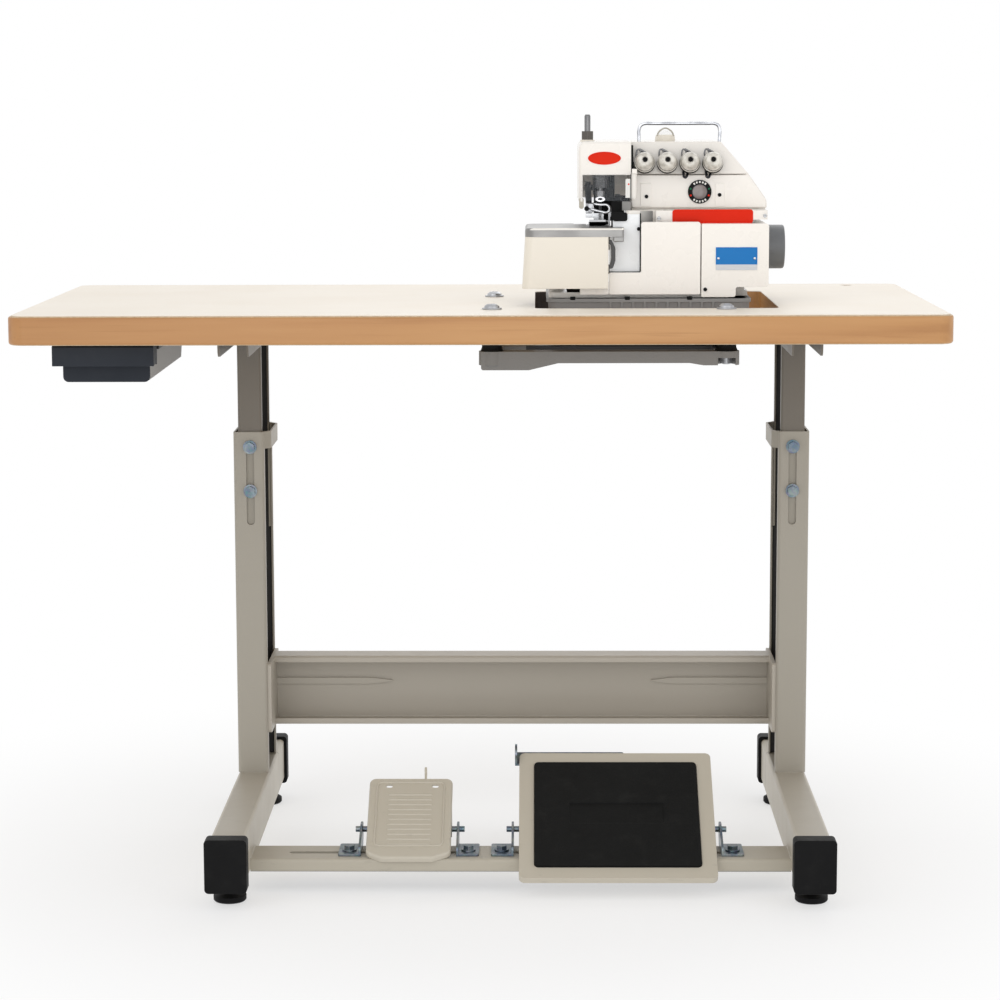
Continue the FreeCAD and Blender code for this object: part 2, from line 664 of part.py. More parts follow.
def table_holes(shape):
    """Opening for the head, its hanging bolts and the thread stand hole."""
    well = rounded(CUT_LEFT, CUT_RIGHT, CUT_FRONT, CUT_BACK, CUT_CORNER)
    shape = shape.cut(plate("z", well, TABLE_UNDER - 1, TABLE_HEIGHT + 1))
    for x, y in HANG_POINTS:
        shape = shape.cut(rod("z", x, y, TABLE_UNDER - 1, HANG_BOLT_R + 0.5, TABLE_THICK + 2))
    x = TABLE_WIDTH / 2 - THREAD_STAND_SET
    y = TABLE_DEPTH / 2 - THREAD_STAND_BACK
    return shape.cut(rod("z", x, y, TABLE_UNDER - 1, THREAD_STAND_R, TABLE_THICK + 2))


def table_top():
    """Board with rounded corners and softened long edges."""
    w = TABLE_WIDTH / 2
    d = TABLE_DEPTH / 2
    top = TABLE_HEIGHT - LAMINATE_THICK
    board = plate("z", rounded(-w, w, -d, d, TABLE_CORNER), TABLE_UNDER, top)
    rims = [e for e in board.Edges if abs(e.BoundBox.ZLength) < 1e-6]
    board = board.makeFillet(EDGE_ROUND, rims)
    return table_holes(board)


def table_laminate():
    w = TABLE_WIDTH / 2 - LAMINATE_INSET
    d = TABLE_DEPTH / 2 - LAMINATE_INSET
    top = TABLE_HEIGHT - LAMINATE_THICK
    sheet = plate("z", rounded(-w, w, -d, d, TABLE_CORNER - LAMINATE_INSET), top, TABLE_HEIGHT)
    return table_holes(sheet)


DRAWER_X0 = DRAWER_X - DRAWER_WIDTH / 2
DRAWER_X1 = DRAWER_X + DRAWER_WIDTH / 2
TRAY_TOP = TABLE_UNDER - 2 * RAIL_SHEET - 0.8
TRAY_Y0 = DRAWER_FRONT_Y + FACE_DEPTH
TRAY_LOW = TRAY_TOP - DRAWER_TALL


def drawer_rails():
    """Two bent runners under the table that carry the tray flanges."""
    pieces = []
    slack = 0.8
    ledge = TRAY_TOP - 2.5 - slack
    out = DRAWER_X0 - DRAWER_FLANGE - slack
    top = TABLE_UNDER
    foot = out - RAIL_SHEET
    ring = [
        (foot, ledge - RAIL_SHEET), (DRAWER_X0 - slack, ledge - RAIL_SHEET),
        (DRAWER_X0 - slack, ledge), (out, ledge),
    ]
    ring += [
        (out, top - RAIL_SHEET), (DRAWER_X0 - slack, top - RAIL_SHEET),
        (DRAWER_X0 - slack, top), (foot, top),
    ]
    rail = plate("y", ring, TRAY_Y0 + 6, TRAY_Y0 + DRAWER_DEPTH + 12)
    pieces.append(rail)
    pieces.append(mirrored_x(rail, DRAWER_X))
    return Part.makeCompound(pieces)


def drawer_tray():
    """Open moulded tray with drafted walls and side flanges."""
    y1 = TRAY_Y0 + DRAWER_DEPTH
    low = outline("z", rounded(DRAWER_X0 + 3, DRAWER_X1 - 3, TRAY_Y0, y1 - 3, 6), TRAY_LOW)
    high = outline("z", rounded(DRAWER_X0, DRAWER_X1, TRAY_Y0, y1, 6), TRAY_TOP)
    shell = Part.makeLoft([low, high], True)
    w = DRAWER_WALL
    floor = rounded(DRAWER_X0 + 3 + w, DRAWER_X1 - 3 - w, TRAY_Y0 + w, y1 - 3 - w, 4)
    low = outline("z", floor, TRAY_LOW + w)
    high = outline("z", rounded(DRAWER_X0 + w, DRAWER_X1 - w, TRAY_Y0 + w, y1 - w, 4), TRAY_TOP + 0.01)
    shell = shell.cut(Part.makeLoft([low, high], True))
    wide = rounded(DRAWER_X0 - DRAWER_FLANGE, DRAWER_X1 + DRAWER_FLANGE, TRAY_Y0 + 4, y1 - 4, 3)
    flange = plate("z", wide, TRAY_TOP - 2.5, TRAY_TOP)
    hole = rounded(DRAWER_X0 + w, DRAWER_X1 - w, TRAY_Y0 + w, y1 - w, 4)
    flange = flange.cut(plate("z", hole, TRAY_TOP - 3, TRAY_TOP + 1))
    return join(shell, flange)


def drawer_front():
    """Dark front wall of the tray with a deep finger lip, hollow from below."""
    y0 = DRAWER_FRONT_Y
    y1 = TRAY_Y0
    w = FACE_SHEET
    top = TRAY_TOP + RAIL_SHEET
    low = top - FACE_LIP
    hook = [
        (y0, low, 1.5), (y0, top, 3), (y1, top, 0),
        (y1, low, 0), (y1 - w, low, 0), (y1 - w, top - w, 2),
    ]
    hook += [(y0 + w, top - w, 2), (y0 + w, low, 1.5)]
    lip = plate("x", hook, DRAWER_X0 - FACE_SIDE, DRAWER_X1 + FACE_SIDE)
    cheek = [(y0 + 1, low + 1, 1), (y0 + 1, top - 1, 2), (y1 - 1, top - 1), (y1 - 1, low + 1)]
    sides = [plate("x", cheek, x, x + w) for x in (DRAWER_X0 - FACE_SIDE, DRAWER_X1 + FACE_SIDE - w)]
    wall = [(DRAWER_X0, TRAY_LOW - 1, FACE_CORNER), (DRAWER_X1, TRAY_LOW - 1, FACE_CORNER)]
    wall += [(DRAWER_X1, low + 2), (DRAWER_X0, low + 2)]
    return join(lip, plate("y", wall, y1 - w, y1), *sides)


def hanging_frame():
    """Ladder casting under the table: front beam, two side rails and two arms with pads."""
    z1 = HANG_TOP
    z0 = z1 - HANG_TALL
    half = HANG_BAR / 2
    (fl, fr, rl, rr) = HANG_POINTS
    a = fl[0] - half
    b = fr[0] + half
    face = [
        (a, z0 - 6, 3), (a + 62, z0 - 6, 8), (a + 100, z0 + 3, 8), (b - 62, z0 + 3, 8),
        (b - 44, z0, 4), (b, z0, 3), (b, z1, 2), (a, z1, 2),
    ]
    pieces = [plate("y", face, fl[1] - half, fl[1] + half)]
    pieces.append(box(a, a + HANG_BAR, fl[1], rl[1] + half, z0, z1))
    pieces.append(box(b - HANG_BAR, b, fr[1], rr[1] + half, z0, z1))
    for y in (ARM_Y, REAR_ARM_Y):
        web = [
            (y - half, z1, 1), (y - half, z1 - 6, 1), (y - 4, z1 - 7, 2), (y - 4, z0, 2),
            (y + 4, z0, 2), (y + 4, z1 - 7, 2),
        ]
        web += [(y + half, z1 - 6, 1), (y + half, z1, 1)]
        pieces.append(plate("x", web, fl[0], fr[0]))
    for x, y in HANG_POINTS + HEAD_PADS:
        pieces.append(rod("z", x, y, z0, half + 3, z1 - z0))
    frame = join(*pieces)
    for x, y in HANG_POINTS:
        frame = frame.cut(rod("z", x, y, z0 - 10, HANG_BOLT_R + 0.5, HANG_TALL + 20))
        frame = frame.cut(rod("z", x, y, z0 - 10, NUT_POCKET_R, 10 + NUT_POCKET))
    x, y = fr
    return frame.cut(box(x - NUT_POCKET_R, x + NUT_POCKET_R, y - 2 * half, y, z0 - 1, z0 + NUT_POCKET))


def cushions():
    """Rubber rings under the table and pads under the head."""
    pieces = []
    for x, y in HANG_POINTS:
        bore = HANG_BOLT_R + 0.3
        waist = [(0, bore), (0, 15), (5, 13), (11, 13), (HANG_CUSHION, 15), (HANG_CUSHION, bore)]
        pieces.append(turned("z", x, y, HANG_TOP, waist))
    for x, y in HEAD_PADS:
        pieces.append(turned("z", x, y, HANG_TOP, [(0, 0), (0, 13), (HEAD_CUSHION, 11), (HEAD_CUSHION, 0)]))
    return Part.makeCompound(pieces)


def hanging_bolts():
    """Round-headed bolts through the table with washers, their nuts sunk in the frame."""
    pieces = []
    base = HANG_TOP - HANG_TALL + NUT_POCKET
    for x, y in HANG_POINTS:
        washer = turned("z", x, y, TABLE_HEIGHT, [(0, 0), (0, 13), (1.8, 13), (2, 12.6), (2, 0)])
        dish = [(0, 0), (0, 10), (2.4, 9.6), (4.6, 6.5), (5, 5), (3, 4.2), (3, 0)]
        head = turned("z", x, y, TABLE_HEIGHT + 2, dish)
        shank = rod("z", x, y, base - 9, HANG_BOLT_R, TABLE_HEIGHT + 1 - base + 9)
        pieces.append(join(washer, head, shank))
        nut = hexagon("z", x, y, base - 8, 16, 8)
        pieces.append(nut.cut(rod("z", x, y, base - 9, HANG_BOLT_R, 10)))
    return Part.makeCompound(pieces)


T = TABLE_HEIGHT
CLOTH_FRONT = PAN_Y - 15
BED_FRONT = NY - 62
HINGE_X = PAN_X + 13
HINGE_Y = NY + 30
COVER_Y = PAN_Y + 9.5
COVER_Z = T + 22.5
LOOPER_X = BODY_X + 16
GUARD_X = NX + 44
GUARD_Y = NY - 39
PRESS_Y = NY + 76
PRESS_Z = T + 150
KNIFE_Y = NY + 54
KNIFE_Z = T + 134
SCREW_X = NX - 17
SCREW_Y = NY + 6
KNOBS = [NX + 58 + k * KNOB_PITCH for k in range(4)]


def leaned(shape):
    """Takes a piece drawn upright over the lower panel back to the slope of the upper panel."""
    shape.rotate(V(0, PANEL_Y, T + LEAN_RISE), V(1, 0, 0), -LEAN)
    return shape


def oil_pan():
    """Drafted pan with a rim, cooling fins on its front and a drain plug."""
    d = PAN_DRAFT
    w = PAN_WALL
    rim = PAN_TOP - 5
    low = outline("z", rounded(PAN_X + d, PAN_END - d, PAN_Y + d, PAN_BACK - d, 10), PAN_Z)
    high = outline("z", rounded(PAN_X + 2, PAN_END - 2, PAN_Y + 2, PAN_BACK - 2, 12), rim)
    tub = Part.makeLoft([low, high], True)
    lip = plate("z", rounded(PAN_X, PAN_END, PAN_Y, PAN_BACK, 13), rim, PAN_TOP)
    pieces = [tub, lip]
    for k in range(10):
        x = NX + 12 + k * 15
        pieces.append(box(x - 1.5, x + 1.5, PAN_Y, PAN_Y + 5, PAN_Z + 12, rim + 1))
    pieces.append(rod("z", PAN_X + 60, PAN_Y + 120, PAN_Z - 6, 9, 7))
    g = d + w
    low = outline("z", rounded(PAN_X + g, PAN_END - g, PAN_Y + g, PAN_BACK - g, 7), PAN_Z + w)
    g = 2 + w
    high = outline("z", rounded(PAN_X + g, PAN_END - g, PAN_Y + g, PAN_BACK - g, 9), PAN_TOP + 0.01)
    return join(*pieces).cut(Part.makeLoft([low, high], True))


def bed_casting():
    """Lower casting: flange, hollow body, chamber wall, plate bracket, hinge post and cover hinge."""
    base = PAN_TOP + BED_FLANGE
    rear = PAN_BACK - 5
    end = PAN_END - 6
    flange = plate("z", rounded(PAN_X + 3, PAN_END - 2, NY - 64, rear, 8), PAN_TOP, base)
    body = plate("z", rounded(BODY_X, end, BED_FRONT, rear, 6), base - 1, BED_TOP)
    shelf = plate("z", rounded(BODY_X, HEAD_END - 2, BED_FRONT, NY + 136, 5), BED_TOP - 12, BED_TOP)
    panel = box(NX + 11, BODY_X + 8, NY - 66, NY - 61, base - 1, T + 120)
    panel = panel.cut(box(NX + 10, NX + 30, NY - 67, NY - 60, T + 101, T + 121))
    sill = plate("y", rounded(NX - 28, NX + 9.6, T + 15.5, T + 23, 1.5), PAN_Y, PAN_Y + 5)
    sill = join(sill, box(NX - 27, NX + 9, PAN_Y + 4, NY - 60, T + 15.5, T + 19))
    bracket_z = PLATE - 3
    arm = box(NX - 17, BODY_X + 1, NY + 26, NY + 42, T + 70, bracket_z)
    ledge = box(NX - 17, NX + 8, NY + 14, NY + 27, bracket_z - 8, bracket_z)
    boss_l = rod("x", BODY_X - 4, SHAFT_Y, SHAFT_Z, SHAFT_R + 7, 20)
    boss_r = rod("x", PAN_END - 22, SHAFT_Y, SHAFT_Z, SHAFT_R + 7, 19)
    cavity = box(BODY_X + WALL, end - 8, BED_FRONT + WALL, NY + 126, base + 5, BED_TOP - 12)
    shell = join(flange, body, shelf, panel, sill, arm, ledge).cut(cavity)
    shell = shell.cut(box(BODY_X + 26, BODY_X + 90, BED_FRONT - 1, BED_FRONT + WALL + 1, T + 26, T + 100))
    shell = shell.cut(box(BODY_X - 1, BODY_X + WALL + 1, NY - 46, NY + 26, T + 28, T + 66))
    shell = shell.cut(box(NX - 13.3, NX - 4.2, NY + 13, NY + 43, T + 83.7, T + 90.3))
    pocket = box(NX + 51, NX + 72, BED_FRONT - 1, BED_FRONT + 16, T + 104, BED_TOP + 1)
    lining = box(NX + 48, NX + 75, BED_FRONT + 2, BED_FRONT + 20, T + 100, BED_TOP - 11)
    shell = join(shell, lining).cut(pocket)
    shell = shell.cut(box(NX + 168, PAN_END, NY - 66, NY - 30, PAN_TOP - 1, T + 27))
    pieces = [shell, boss_l, boss_r]
    post = [
        (-1, 0), (-1, 12), (8, 12), (12, 8.5), (22.7, 8.5),
        (22.7, HINGE_R), (70, HINGE_R), (72, 4), (72, 0),
    ]
    pieces.append(turned("z", HINGE_X, HINGE_Y, base, post))
    for z in (T + 56, T + 38):
        pieces.append(rod("y", LOOPER_X, BED_FRONT + 4, z, PIN_R, 80))
    for x in (NX + 39, NX + 113):
        pieces.append(rod("x", x, COVER_Y, COVER_Z, 5.5, 6))
        pieces.append(box(x, x + 6, COVER_Y, BED_FRONT + 2, COVER_Z - 2, COVER_Z + 3))
    pieces.append(rod("x", NX + 19, COVER_Y, COVER_Z, 3, 107))
    whole = join(*pieces)
    return whole.cut(rod("x", BODY_X - 14, SHAFT_Y, SHAFT_Z, SHAFT_R + RUN_FIT, PAN_WIDTH))


HINGE_R = 6.0


def cover_outline(inset, r):
    """The L-shaped front of the looper cover."""
    x0 = NX + 10.2 + inset
    xu = NX + 52 + inset
    x1 = NX + 129.5 - inset
    z0 = T + 15.5 + inset
    zm = T + 44 - inset
    z1 = T + 110 - inset
    return [(x0, z0, r), (x1, z0, r), (x1, z1, r + 1.5), (xu, z1, r + 1.5), (xu, zm, r), (x0, zm, r)]


def front_cover():
    """Hinged looper cover, a shell with two hinge sleeves along its lower edge."""
    w = COVER_WALL
    shell = plate("y", cover_outline(0, 1.8), PAN_Y, PAN_Y + 14)
    shell = shell.cut(plate("y", cover_outline(w, 0.6), PAN_Y + w, PAN_Y + 15))
    for x in (NX + 37.5, NX + 111.5):
        shell = shell.cut(box(x, x + 9, PAN_Y + w, PAN_Y + 15, T + 12, COVER_Z + 8))
    pieces = [shell]
    for x, length in ((NX + 22, 15), (NX + 98, 13)):
        pieces.append(rod("x", x, COVER_Y, COVER_Z, 5.5, length))
        pieces.append(box(x, x + length, PAN_Y + 2, COVER_Y, COVER_Z - 5, COVER_Z + 5))
    whole = join(*pieces)
    return whole.cut(rod("x", NX + 18, COVER_Y, COVER_Z, 3 + RUN_FIT, 108))


def belt_cover():
    """Right-hand shell over the pulley, with the hole for the handwheel."""
    x0 = NX + 131
    x1 = HEAD_END - 2
    w = COVER_WALL
    back = NY + 126
    top = T + 111.7
    front = [
        (x0, T + 12, 2), (NX + 176, T + 12, 3), (NX + 176, T + 25, 3),
        (x1, T + 25, 3), (x1, top, 4), (x0, top, 2),
    ]
    shell = plate("y", front, PAN_Y, back)
    room = [(x0 - 1, T - 1), (x1 - w, T - 1), (x1 - w, top - w, 2), (x0 - 1, top - w)]
    shell = shell.cut(plate("y", room, PAN_Y + w, back + 1))
    shell = shell.cut(box(x0 - 1, PAN_END - 6, BED_FRONT, back + 1, T - 1, top + 1))
    return shell.cut(rod("x", x1 - w - 2, SHAFT_Y, SHAFT_Z, WHEEL_R + 2, w + 4))


def arm_casting():
    """Upper casting: sloped column open to the front, nose with needle bar guide and pivot studs."""
    x = COLUMN_X
    slope = [(x, BED_TOP), (HEAD_END, BED_TOP, 4), (HEAD_END, T + 136, 12), (NX + 197, T + 170, 30)]
    slope += [(NX + 160, ARM_TOP, 4), (x, ARM_TOP)]
    column = plate("y", slope, NY - 14, NY + 136)
    hollow = [(x + 8, BED_TOP + 8, 6), (HEAD_END - 14, BED_TOP + 8, 6), (NX + 186, T + 168, 8)]
    hollow += [(NX + 154, ARM_TOP - 8, 8), (x + 8, ARM_TOP - 8, 6)]
    column = column.cut(plate("y", hollow, NY - 15, NY + 124))
    hatch = plate("y", rounded(x + 20, NX + 150, T + 136, T + 198, 8), NY + 135, NY + 139)
    nose = plate("z", rounded(NX - 23, x + 2, NY - 12, NY + 116, 6), T + 172, ARM_TOP - 5)
    guide = plate("z", rounded(NX - 10, NX + 11, NY - 11, NY + 11, 6), T + 152, T + 173)
    lug = box(NX - 8.5, NX + 1, PRESS_Y - 10, PRESS_Y + 10, PRESS_Z, T + 173)
    eye = rod("x", NX - 8.5, PRESS_Y, PRESS_Z, 10, 9.5)
    stud = rod("x", NX - 20, PRESS_Y, PRESS_Z, PIN_R, 20)
    knife_stud = rod("x", NX + 19, KNIFE_Y, KNIFE_Z, PIN_R, x - NX - 17)
    whole = join(column, hatch, nose, guide, lug, eye, stud, knife_stud)
    whole = whole.cut(leaned(box(x, HEAD_END + 1, PANEL_Y - 40, NY - 14, T + LEAN_RISE - 5, ARM_TOP + 20)))
    whole = whole.cut(rod("z", NX, NY, T + 150, BAR_R + RUN_FIT, 64))
    return whole.cut(rod("z", SCREW_X, SCREW_Y, T + 190, 4 + RUN_FIT, 30))


def face_cover():
    """Rounded hood over the nose, open below and behind the eye guard."""
    x0 = NX - 29
    x1 = COLUMN_X
    y0 = NY - 34
    y1 = NY + 128
    w = COVER_WALL
    low = T + 135
    top = ARM_TOP + 1
    hood = plate("y", [(x0, low), (x0, top, 10), (x1, top), (x1, low)], y0, y1)
    flat = [(e, e.BoundBox) for e in hood.Edges if e.BoundBox.YLength < 1e-6]
    rims = [e for e, around in flat if around.XMin < x1 - 1 and around.ZMax > low + 1]
    hood = hood.makeFillet(4, rims)
    room = [(x0 + w, low - 1), (x0 + w, top - w, 7), (x1 + 1, top - w), (x1 + 1, low - 1)]
    hood = hood.cut(plate("y", room, y0 + w, y1 - w))
    hood = hood.cut(box(x0 + 5, x1 + 1, y0 - 1, y0 + w + 1, low - 1, T + 170))
    cheek = box(x1 - w, x1, y0 + 1, NY - 12, T + 170, top - 2)
    return join(hood, cheek).cut(rod("z", SCREW_X, SCREW_Y, top - 10, 5, 20))


def tension_panel():
    """Upper front panel, leaned back, with the hinge ear and pin of the eye guard."""
    x = COLUMN_X + 1
    low = T + LEAN_RISE
    top = low + (ARM_TOP - 1 - low) / math.cos(math.radians(LEAN))
    face = [(x, low, 2), (NX + 196, low, 2), (NX + 159.5, top, 8), (x, top, 3)]
    panel = leaned(plate("y", face, PANEL_Y, NY - 14))
    ear = box(x, NX + 47.5, GUARD_Y - 4.5, PANEL_Y + 3, T + 172, T + 178)
    pin = rod("z", GUARD_X, GUARD_Y, T + 138, 2, 35)
    return join(panel, ear, pin)


def lower_panel():
    x = COLUMN_X + 1
    face = [(x, BED_TOP + 2, 3), (HEAD_END - 1, BED_TOP + 2, 3), (HEAD_END - 1, T + 136, 6)]
    face += [(NX + 196.5, T + 169.5, 4), (x, T + 169.5, 3)]
    return plate("y", face, PANEL_Y, NY - 14)


def tension_posts():
    """Studs with collar and dished discs, square to the leaned panel."""
    pieces = []
    z = T + KNOB_RISE
    for x in KNOBS:
        shape = [(0, 0), (0, 7), (-3, 4), (-3.6, 11), (-4.8, 5), (-6, 11), (-6.6, 5), (-12, 5)]
        shape += [(-12, STUD_R), (-33.5, STUD_R), (-33.5, 0)]
        pieces.append(leaned(turned("y", x, PANEL_Y, z, shape)))
    return Part.makeCompound(pieces)


def tension_knob(x):
    """Tapered knob bored to turn on its stud."""
    r = STUD_R + RUN_FIT
    shape = [
        (-13, r), (-13, 10), (-14, KNOB_R - 0.5),
        (-17, KNOB_R), (-22, KNOB_R - 0.2), (-31, KNOB_R - 1.7),
    ]
    shape += [(-32.6, KNOB_R - 3.1), (-33, KNOB_R - 4.5), (-33, r)]
    return leaned(turned("y", x, PANEL_Y, T + KNOB_RISE, shape))


def thread_guide():
    """Chrome rail bent to a bridge over the tension panel."""
    y = NY + 4
    top = T + 237
    left = NX + 53
    right = NX + 155.5
    spots = [V(left, y, ARM_TOP), V(left, y, top), V(right, y, top), V(right, y, ARM_TOP)]
    return bent_rod(spots, 8, 2.25)


def oil_dome():
    shape = [(0, 0), (0, 13), (4, 13), (4, 12.2), (7.5, 11.6), (11, 9.4), (13.5, 6.4), (14.8, 2.6), (15, 0)]
    return turned("z", NX + 88, NY + 40, ARM_TOP, shape)


def head_screws():
    """Slotted screws of the panels and covers and the lock nut of the pressure screw."""
    pieces = []
    spots = [(NX + 61, PANEL_Y, T + 141), (NX + 158, PANEL_Y, T + 143), (NX + 136, PAN_Y, T + 22)]
    spots += [(NX + 76, BED_FRONT, T + 114), (HEAD_END - 6, BED_FRONT, T + 117)]
    for x, y, z in spots:
        head = rod("y", x, y - 2, z, SCREW_R, 2)
        pieces.append(head.cut(box(x - 5, x + 5, y - 3, y - 1.2, z - 0.4, z + 0.4)))
    nut = hexagon("z", SCREW_X, SCREW_Y, ARM_TOP + 1, 15, 13)
    pieces.append(nut.cut(rod("z", SCREW_X, SCREW_Y, ARM_TOP, 4 + RUN_FIT, 20)))
    return Part.makeCompound(pieces)


def pressure_screw():
    shape = [(0, 0), (0, 3), (1, 4), (55, 4), (57, 2.8), (57, 0)]
    screw = turned("z", SCREW_X, SCREW_Y, T + 192, shape)
    return screw.cut(box(SCREW_X - 5, SCREW_X + 5, SCREW_Y - 0.6, SCREW_Y + 0.6, T + 246.5, T + 250))


def eye_guard():
    """Clear shield on a vertical pin."""
    low = T + 136
    top = T + 171.5
    shield = plate("y", rounded(NX - 26, NX + 41, low, top, 6), GUARD_Y - 1, GUARD_Y + 1)
    sleeve = rod("z", GUARD_X, GUARD_Y, T + 140, 3.8, top - T - 140)
    strip = box(NX + 39, GUARD_X, GUARD_Y - 1, GUARD_Y + 1, T + 144, top - 4)
    return join(shield, sleeve, strip).cut(rod("z", GUARD_X, GUARD_Y, T + 130, 2 + RUN_FIT, 50))


def chip_guard():
    """Black deflector in front of the knives, its foot on the bed."""
    low = T + 98
    top = T + 143
    right = NX + 38
    face = [(NX + 14, low, 3), (BODY_X - 2, low, 6), (BODY_X - 2, BED_TOP, 0)]
    face += [(right, BED_TOP, 0), (right, top, 3), (NX + 14, top, 3)]
    skin = plate("y", face, NY - 32, NY - 29)
    foot = plate("z", rounded(BODY_X + 0.5, right + 3, NY - 30, NY - 18, 2), BED_TOP, BED_TOP + 2.5)
    return join(skin, foot)


def cloth_plate():
    """Swinging work plate with a turned-down lip and its hinge sleeve."""
    x0 = NX - 100
    x1 = NX + 29
    y0 = CLOTH_FRONT
    heel = PAN_X + 37
    edge = [
        (x0, y0, 14), (x1, y0, 3), (x1, NY - 68, 2),
        (NX + 9, NY - 68, 2), (NX + 9, NY - 44, 2), (NX - 18, NY - 44, 2),
    ]
    edge += [(NX - 18, NY + 26, 3), (heel, NY + 26, 3), (heel, NY + 42, 6), (x0, NY + 42, 14)]
    sheet = plate("z", edge, PLATE - 11.5, PLATE)
    below = [(x0 + 3, y0 + 3, 11), (x1 + 5, y0 + 3), (x1 + 5, NY + 60), (x0 + 3, NY + 60)]
    sheet = sheet.cut(plate("z", below, PLATE - 12, PLATE - 3))
    sleeve = rod("z", HINGE_X, HINGE_Y, T + 40, 10, PLATE - 2.5 - T - 40)
    rib = box(HINGE_X - 2, HINGE_X + 2, HINGE_Y - 70, HINGE_Y - 8, PLATE - 22, PLATE - 2.5)
    whole = join(sheet, sleeve, rib)
    return whole.cut(rod("z", HINGE_X, HINGE_Y, T + 39, HINGE_R + RUN_FIT, PLATE - 3 - T - 39))


def apron_outline(left, inset, back, r, z):
    x0 = NX - left + inset
    x1 = NX + 9 - inset
    front = CLOTH_FRONT + inset
    return outline("z", [(x0, front, r), (x1, front, 1.5), (x1, back), (x0, back)], z)


def cloth_apron():
    """Flared skirt below the work plate, open behind and below."""
    low = T + 24
    top = PLATE - 11.5
    back = NY - 6
    outer = [apron_outline(104, 0, back, 10, low), apron_outline(100, 0, back, 12, top)]
    room = [apron_outline(104, 2.5, back + 10, 8, low - 0.01)]
    room.append(apron_outline(100, 2.5, back + 10, 10, top + 0.01))
    skirt = Part.makeLoft(outer, True).cut(Part.makeLoft(room, True))
    return skirt.cut(box(NX, NX + 12, NY - 46, back + 1, low - 1, top + 1))


def cloth_latch():
    """Curved release handle at the right edge of the skirt."""
    x = NX + 9
    loop = [(x, T + 50, 0.6), (x + 5.5, T + 50, 3), (x + 9, T + 60, 9), (x + 9, T + 77, 9)]
    loop += [(x + 4.5, T + 87, 3), (x, T + 87, 0.6)]
    gap = [(x - 1, T + 55), (x + 2.2, T + 55, 1.5), (x + 3.6, T + 62, 6), (x + 3.6, T + 75, 6)]
    gap += [(x + 2.2, T + 82, 1.5), (x - 1, T + 82)]
    handle = plate("y", loop, CLOTH_FRONT + 3, CLOTH_FRONT + 15)
    return handle.cut(plate("y", gap, CLOTH_FRONT, CLOTH_FRONT + 18))


def needle_plate():
    z0 = PLATE - 3
    body = plate("z", rounded(NX - 17, NX + 8, NY - 43, NY + 26, 2), z0, PLATE)
    for x0, x1 in ((NX - 13, NX - 9), (NX - 7.5, NX - 4.5)):
        body = body.cut(plate("z", rounded(x0, x1, NY - 26, NY + 18, 1), z0 - 1, PLATE + 1))
    return body.cut(plate("z", rounded(NX - 3, NX + 4, NY - 3.5, NY + 3.5, 2), z0 - 1, PLATE + 1))


def feed_dogs():
    """Two toothed rows on one carrier with a guided tail."""
    pieces = [box(NX - 13, NX - 4.5, NY - 20, NY + 10, T + 84, T + 95)]
    pieces.append(box(NX - 13, NX - 4.5, NY + 9, NY + 56, T + 84, T + 90))
    for x0, x1 in ((NX - 12.4, NX - 9.6), (NX - 7, NX - 5)):
        teeth = [(NY - 20, T + 94)]
        for k in range(14):
            teeth.append((NY - 20 + k * 2, PLATE - 2))
            teeth.append((NY - 18.6 + k * 2, PLATE - 0.4))
        teeth.append((NY + 9, PLATE - 2))
        teeth.append((NY + 9, T + 94))
        pieces.append(plate("x", teeth, x0, x1))
    return join(*pieces)


def lower_knife():
    """Fixed blade on its holder against the body."""
    blade = [
        (NY - 10, T + 70), (NY + 6, T + 70), (NY + 6, PLATE - 0.2),
        (NY - 6, PLATE - 0.2), (NY - 10, PLATE - 8),
    ]
    edge = plate("x", blade, NX + 8.2, NX + 10.6)
    return join(edge, box(NX + 9, BODY_X, NY - 10, NY + 6, T + 70, T + 78))


def upper_knife():
    """Moving blade, clamp block and rocking arm."""
    edge = [(NY - 9, T + 97), (NY + 5, T + 99), (NY + 5, T + 120), (NY - 9, T + 120)]
    blade = plate("x", edge, NX + 10.9, NX + 13.2)
    block = box(NX + 10.9, NX + 28, NY - 8, NY + 4, T + 114, T + 123)
    side = [
        (NY - 8, T + 113, 2), (KNIFE_Y - 4, T + 124, 4),
        (KNIFE_Y + 9, T + 127, 6), (KNIFE_Y + 9, T + 142, 8),
    ]
    side += [(KNIFE_Y - 8, T + 142, 8), (NY - 8, T + 124, 3)]
    arm = plate("x", side, NX + 21, NX + 28)
    return join(blade, block, arm).cut(rod("x", NX + 20, KNIFE_Y, KNIFE_Z, PIN_R + RUN_FIT, 9))


def upper_looper():
    x = LOOPER_X
    side = [
        (x + 3, T + 50), (x + 3, T + 62), (NX + 24, T + 63, 3),
        (NX + 20, T + 84, 3), (NX + 16, T + 90, 0.8),
    ]
    side += [(NX + 13, T + 84, 2), (NX + 15, T + 56, 6), (NX + 30, T + 51, 4)]
    hook = plate("y", side, NY + 10, NY + 16)
    boss = rod("y", x, NY + 8, T + 56, 8, 10)
    return join(hook, boss).cut(rod("y", x, NY, T + 56, PIN_R + RUN_FIT, 30))


def lower_looper():
    x = LOOPER_X
    side = [
        (x + 3, T + 33), (x + 3, T + 43), (NX + 30, T + 42, 4), (NX + 8, T + 47, 6),
        (NX + 1, T + 62, 5), (NX - 1, T + 76, 0.8),
    ]
    side += [(NX - 4.5, T + 76, 0.8), (NX - 5, T + 60, 6), (NX + 3, T + 39, 8), (NX + 30, T + 34, 4)]
    hook = plate("y", side, NY - 5.5, NY - 2.5)
    boss = rod("y", x, NY - 12, T + 38, 8, 14)
    return join(hook, boss).cut(rod("y", x, NY - 20, T + 38, PIN_R + RUN_FIT, 40))


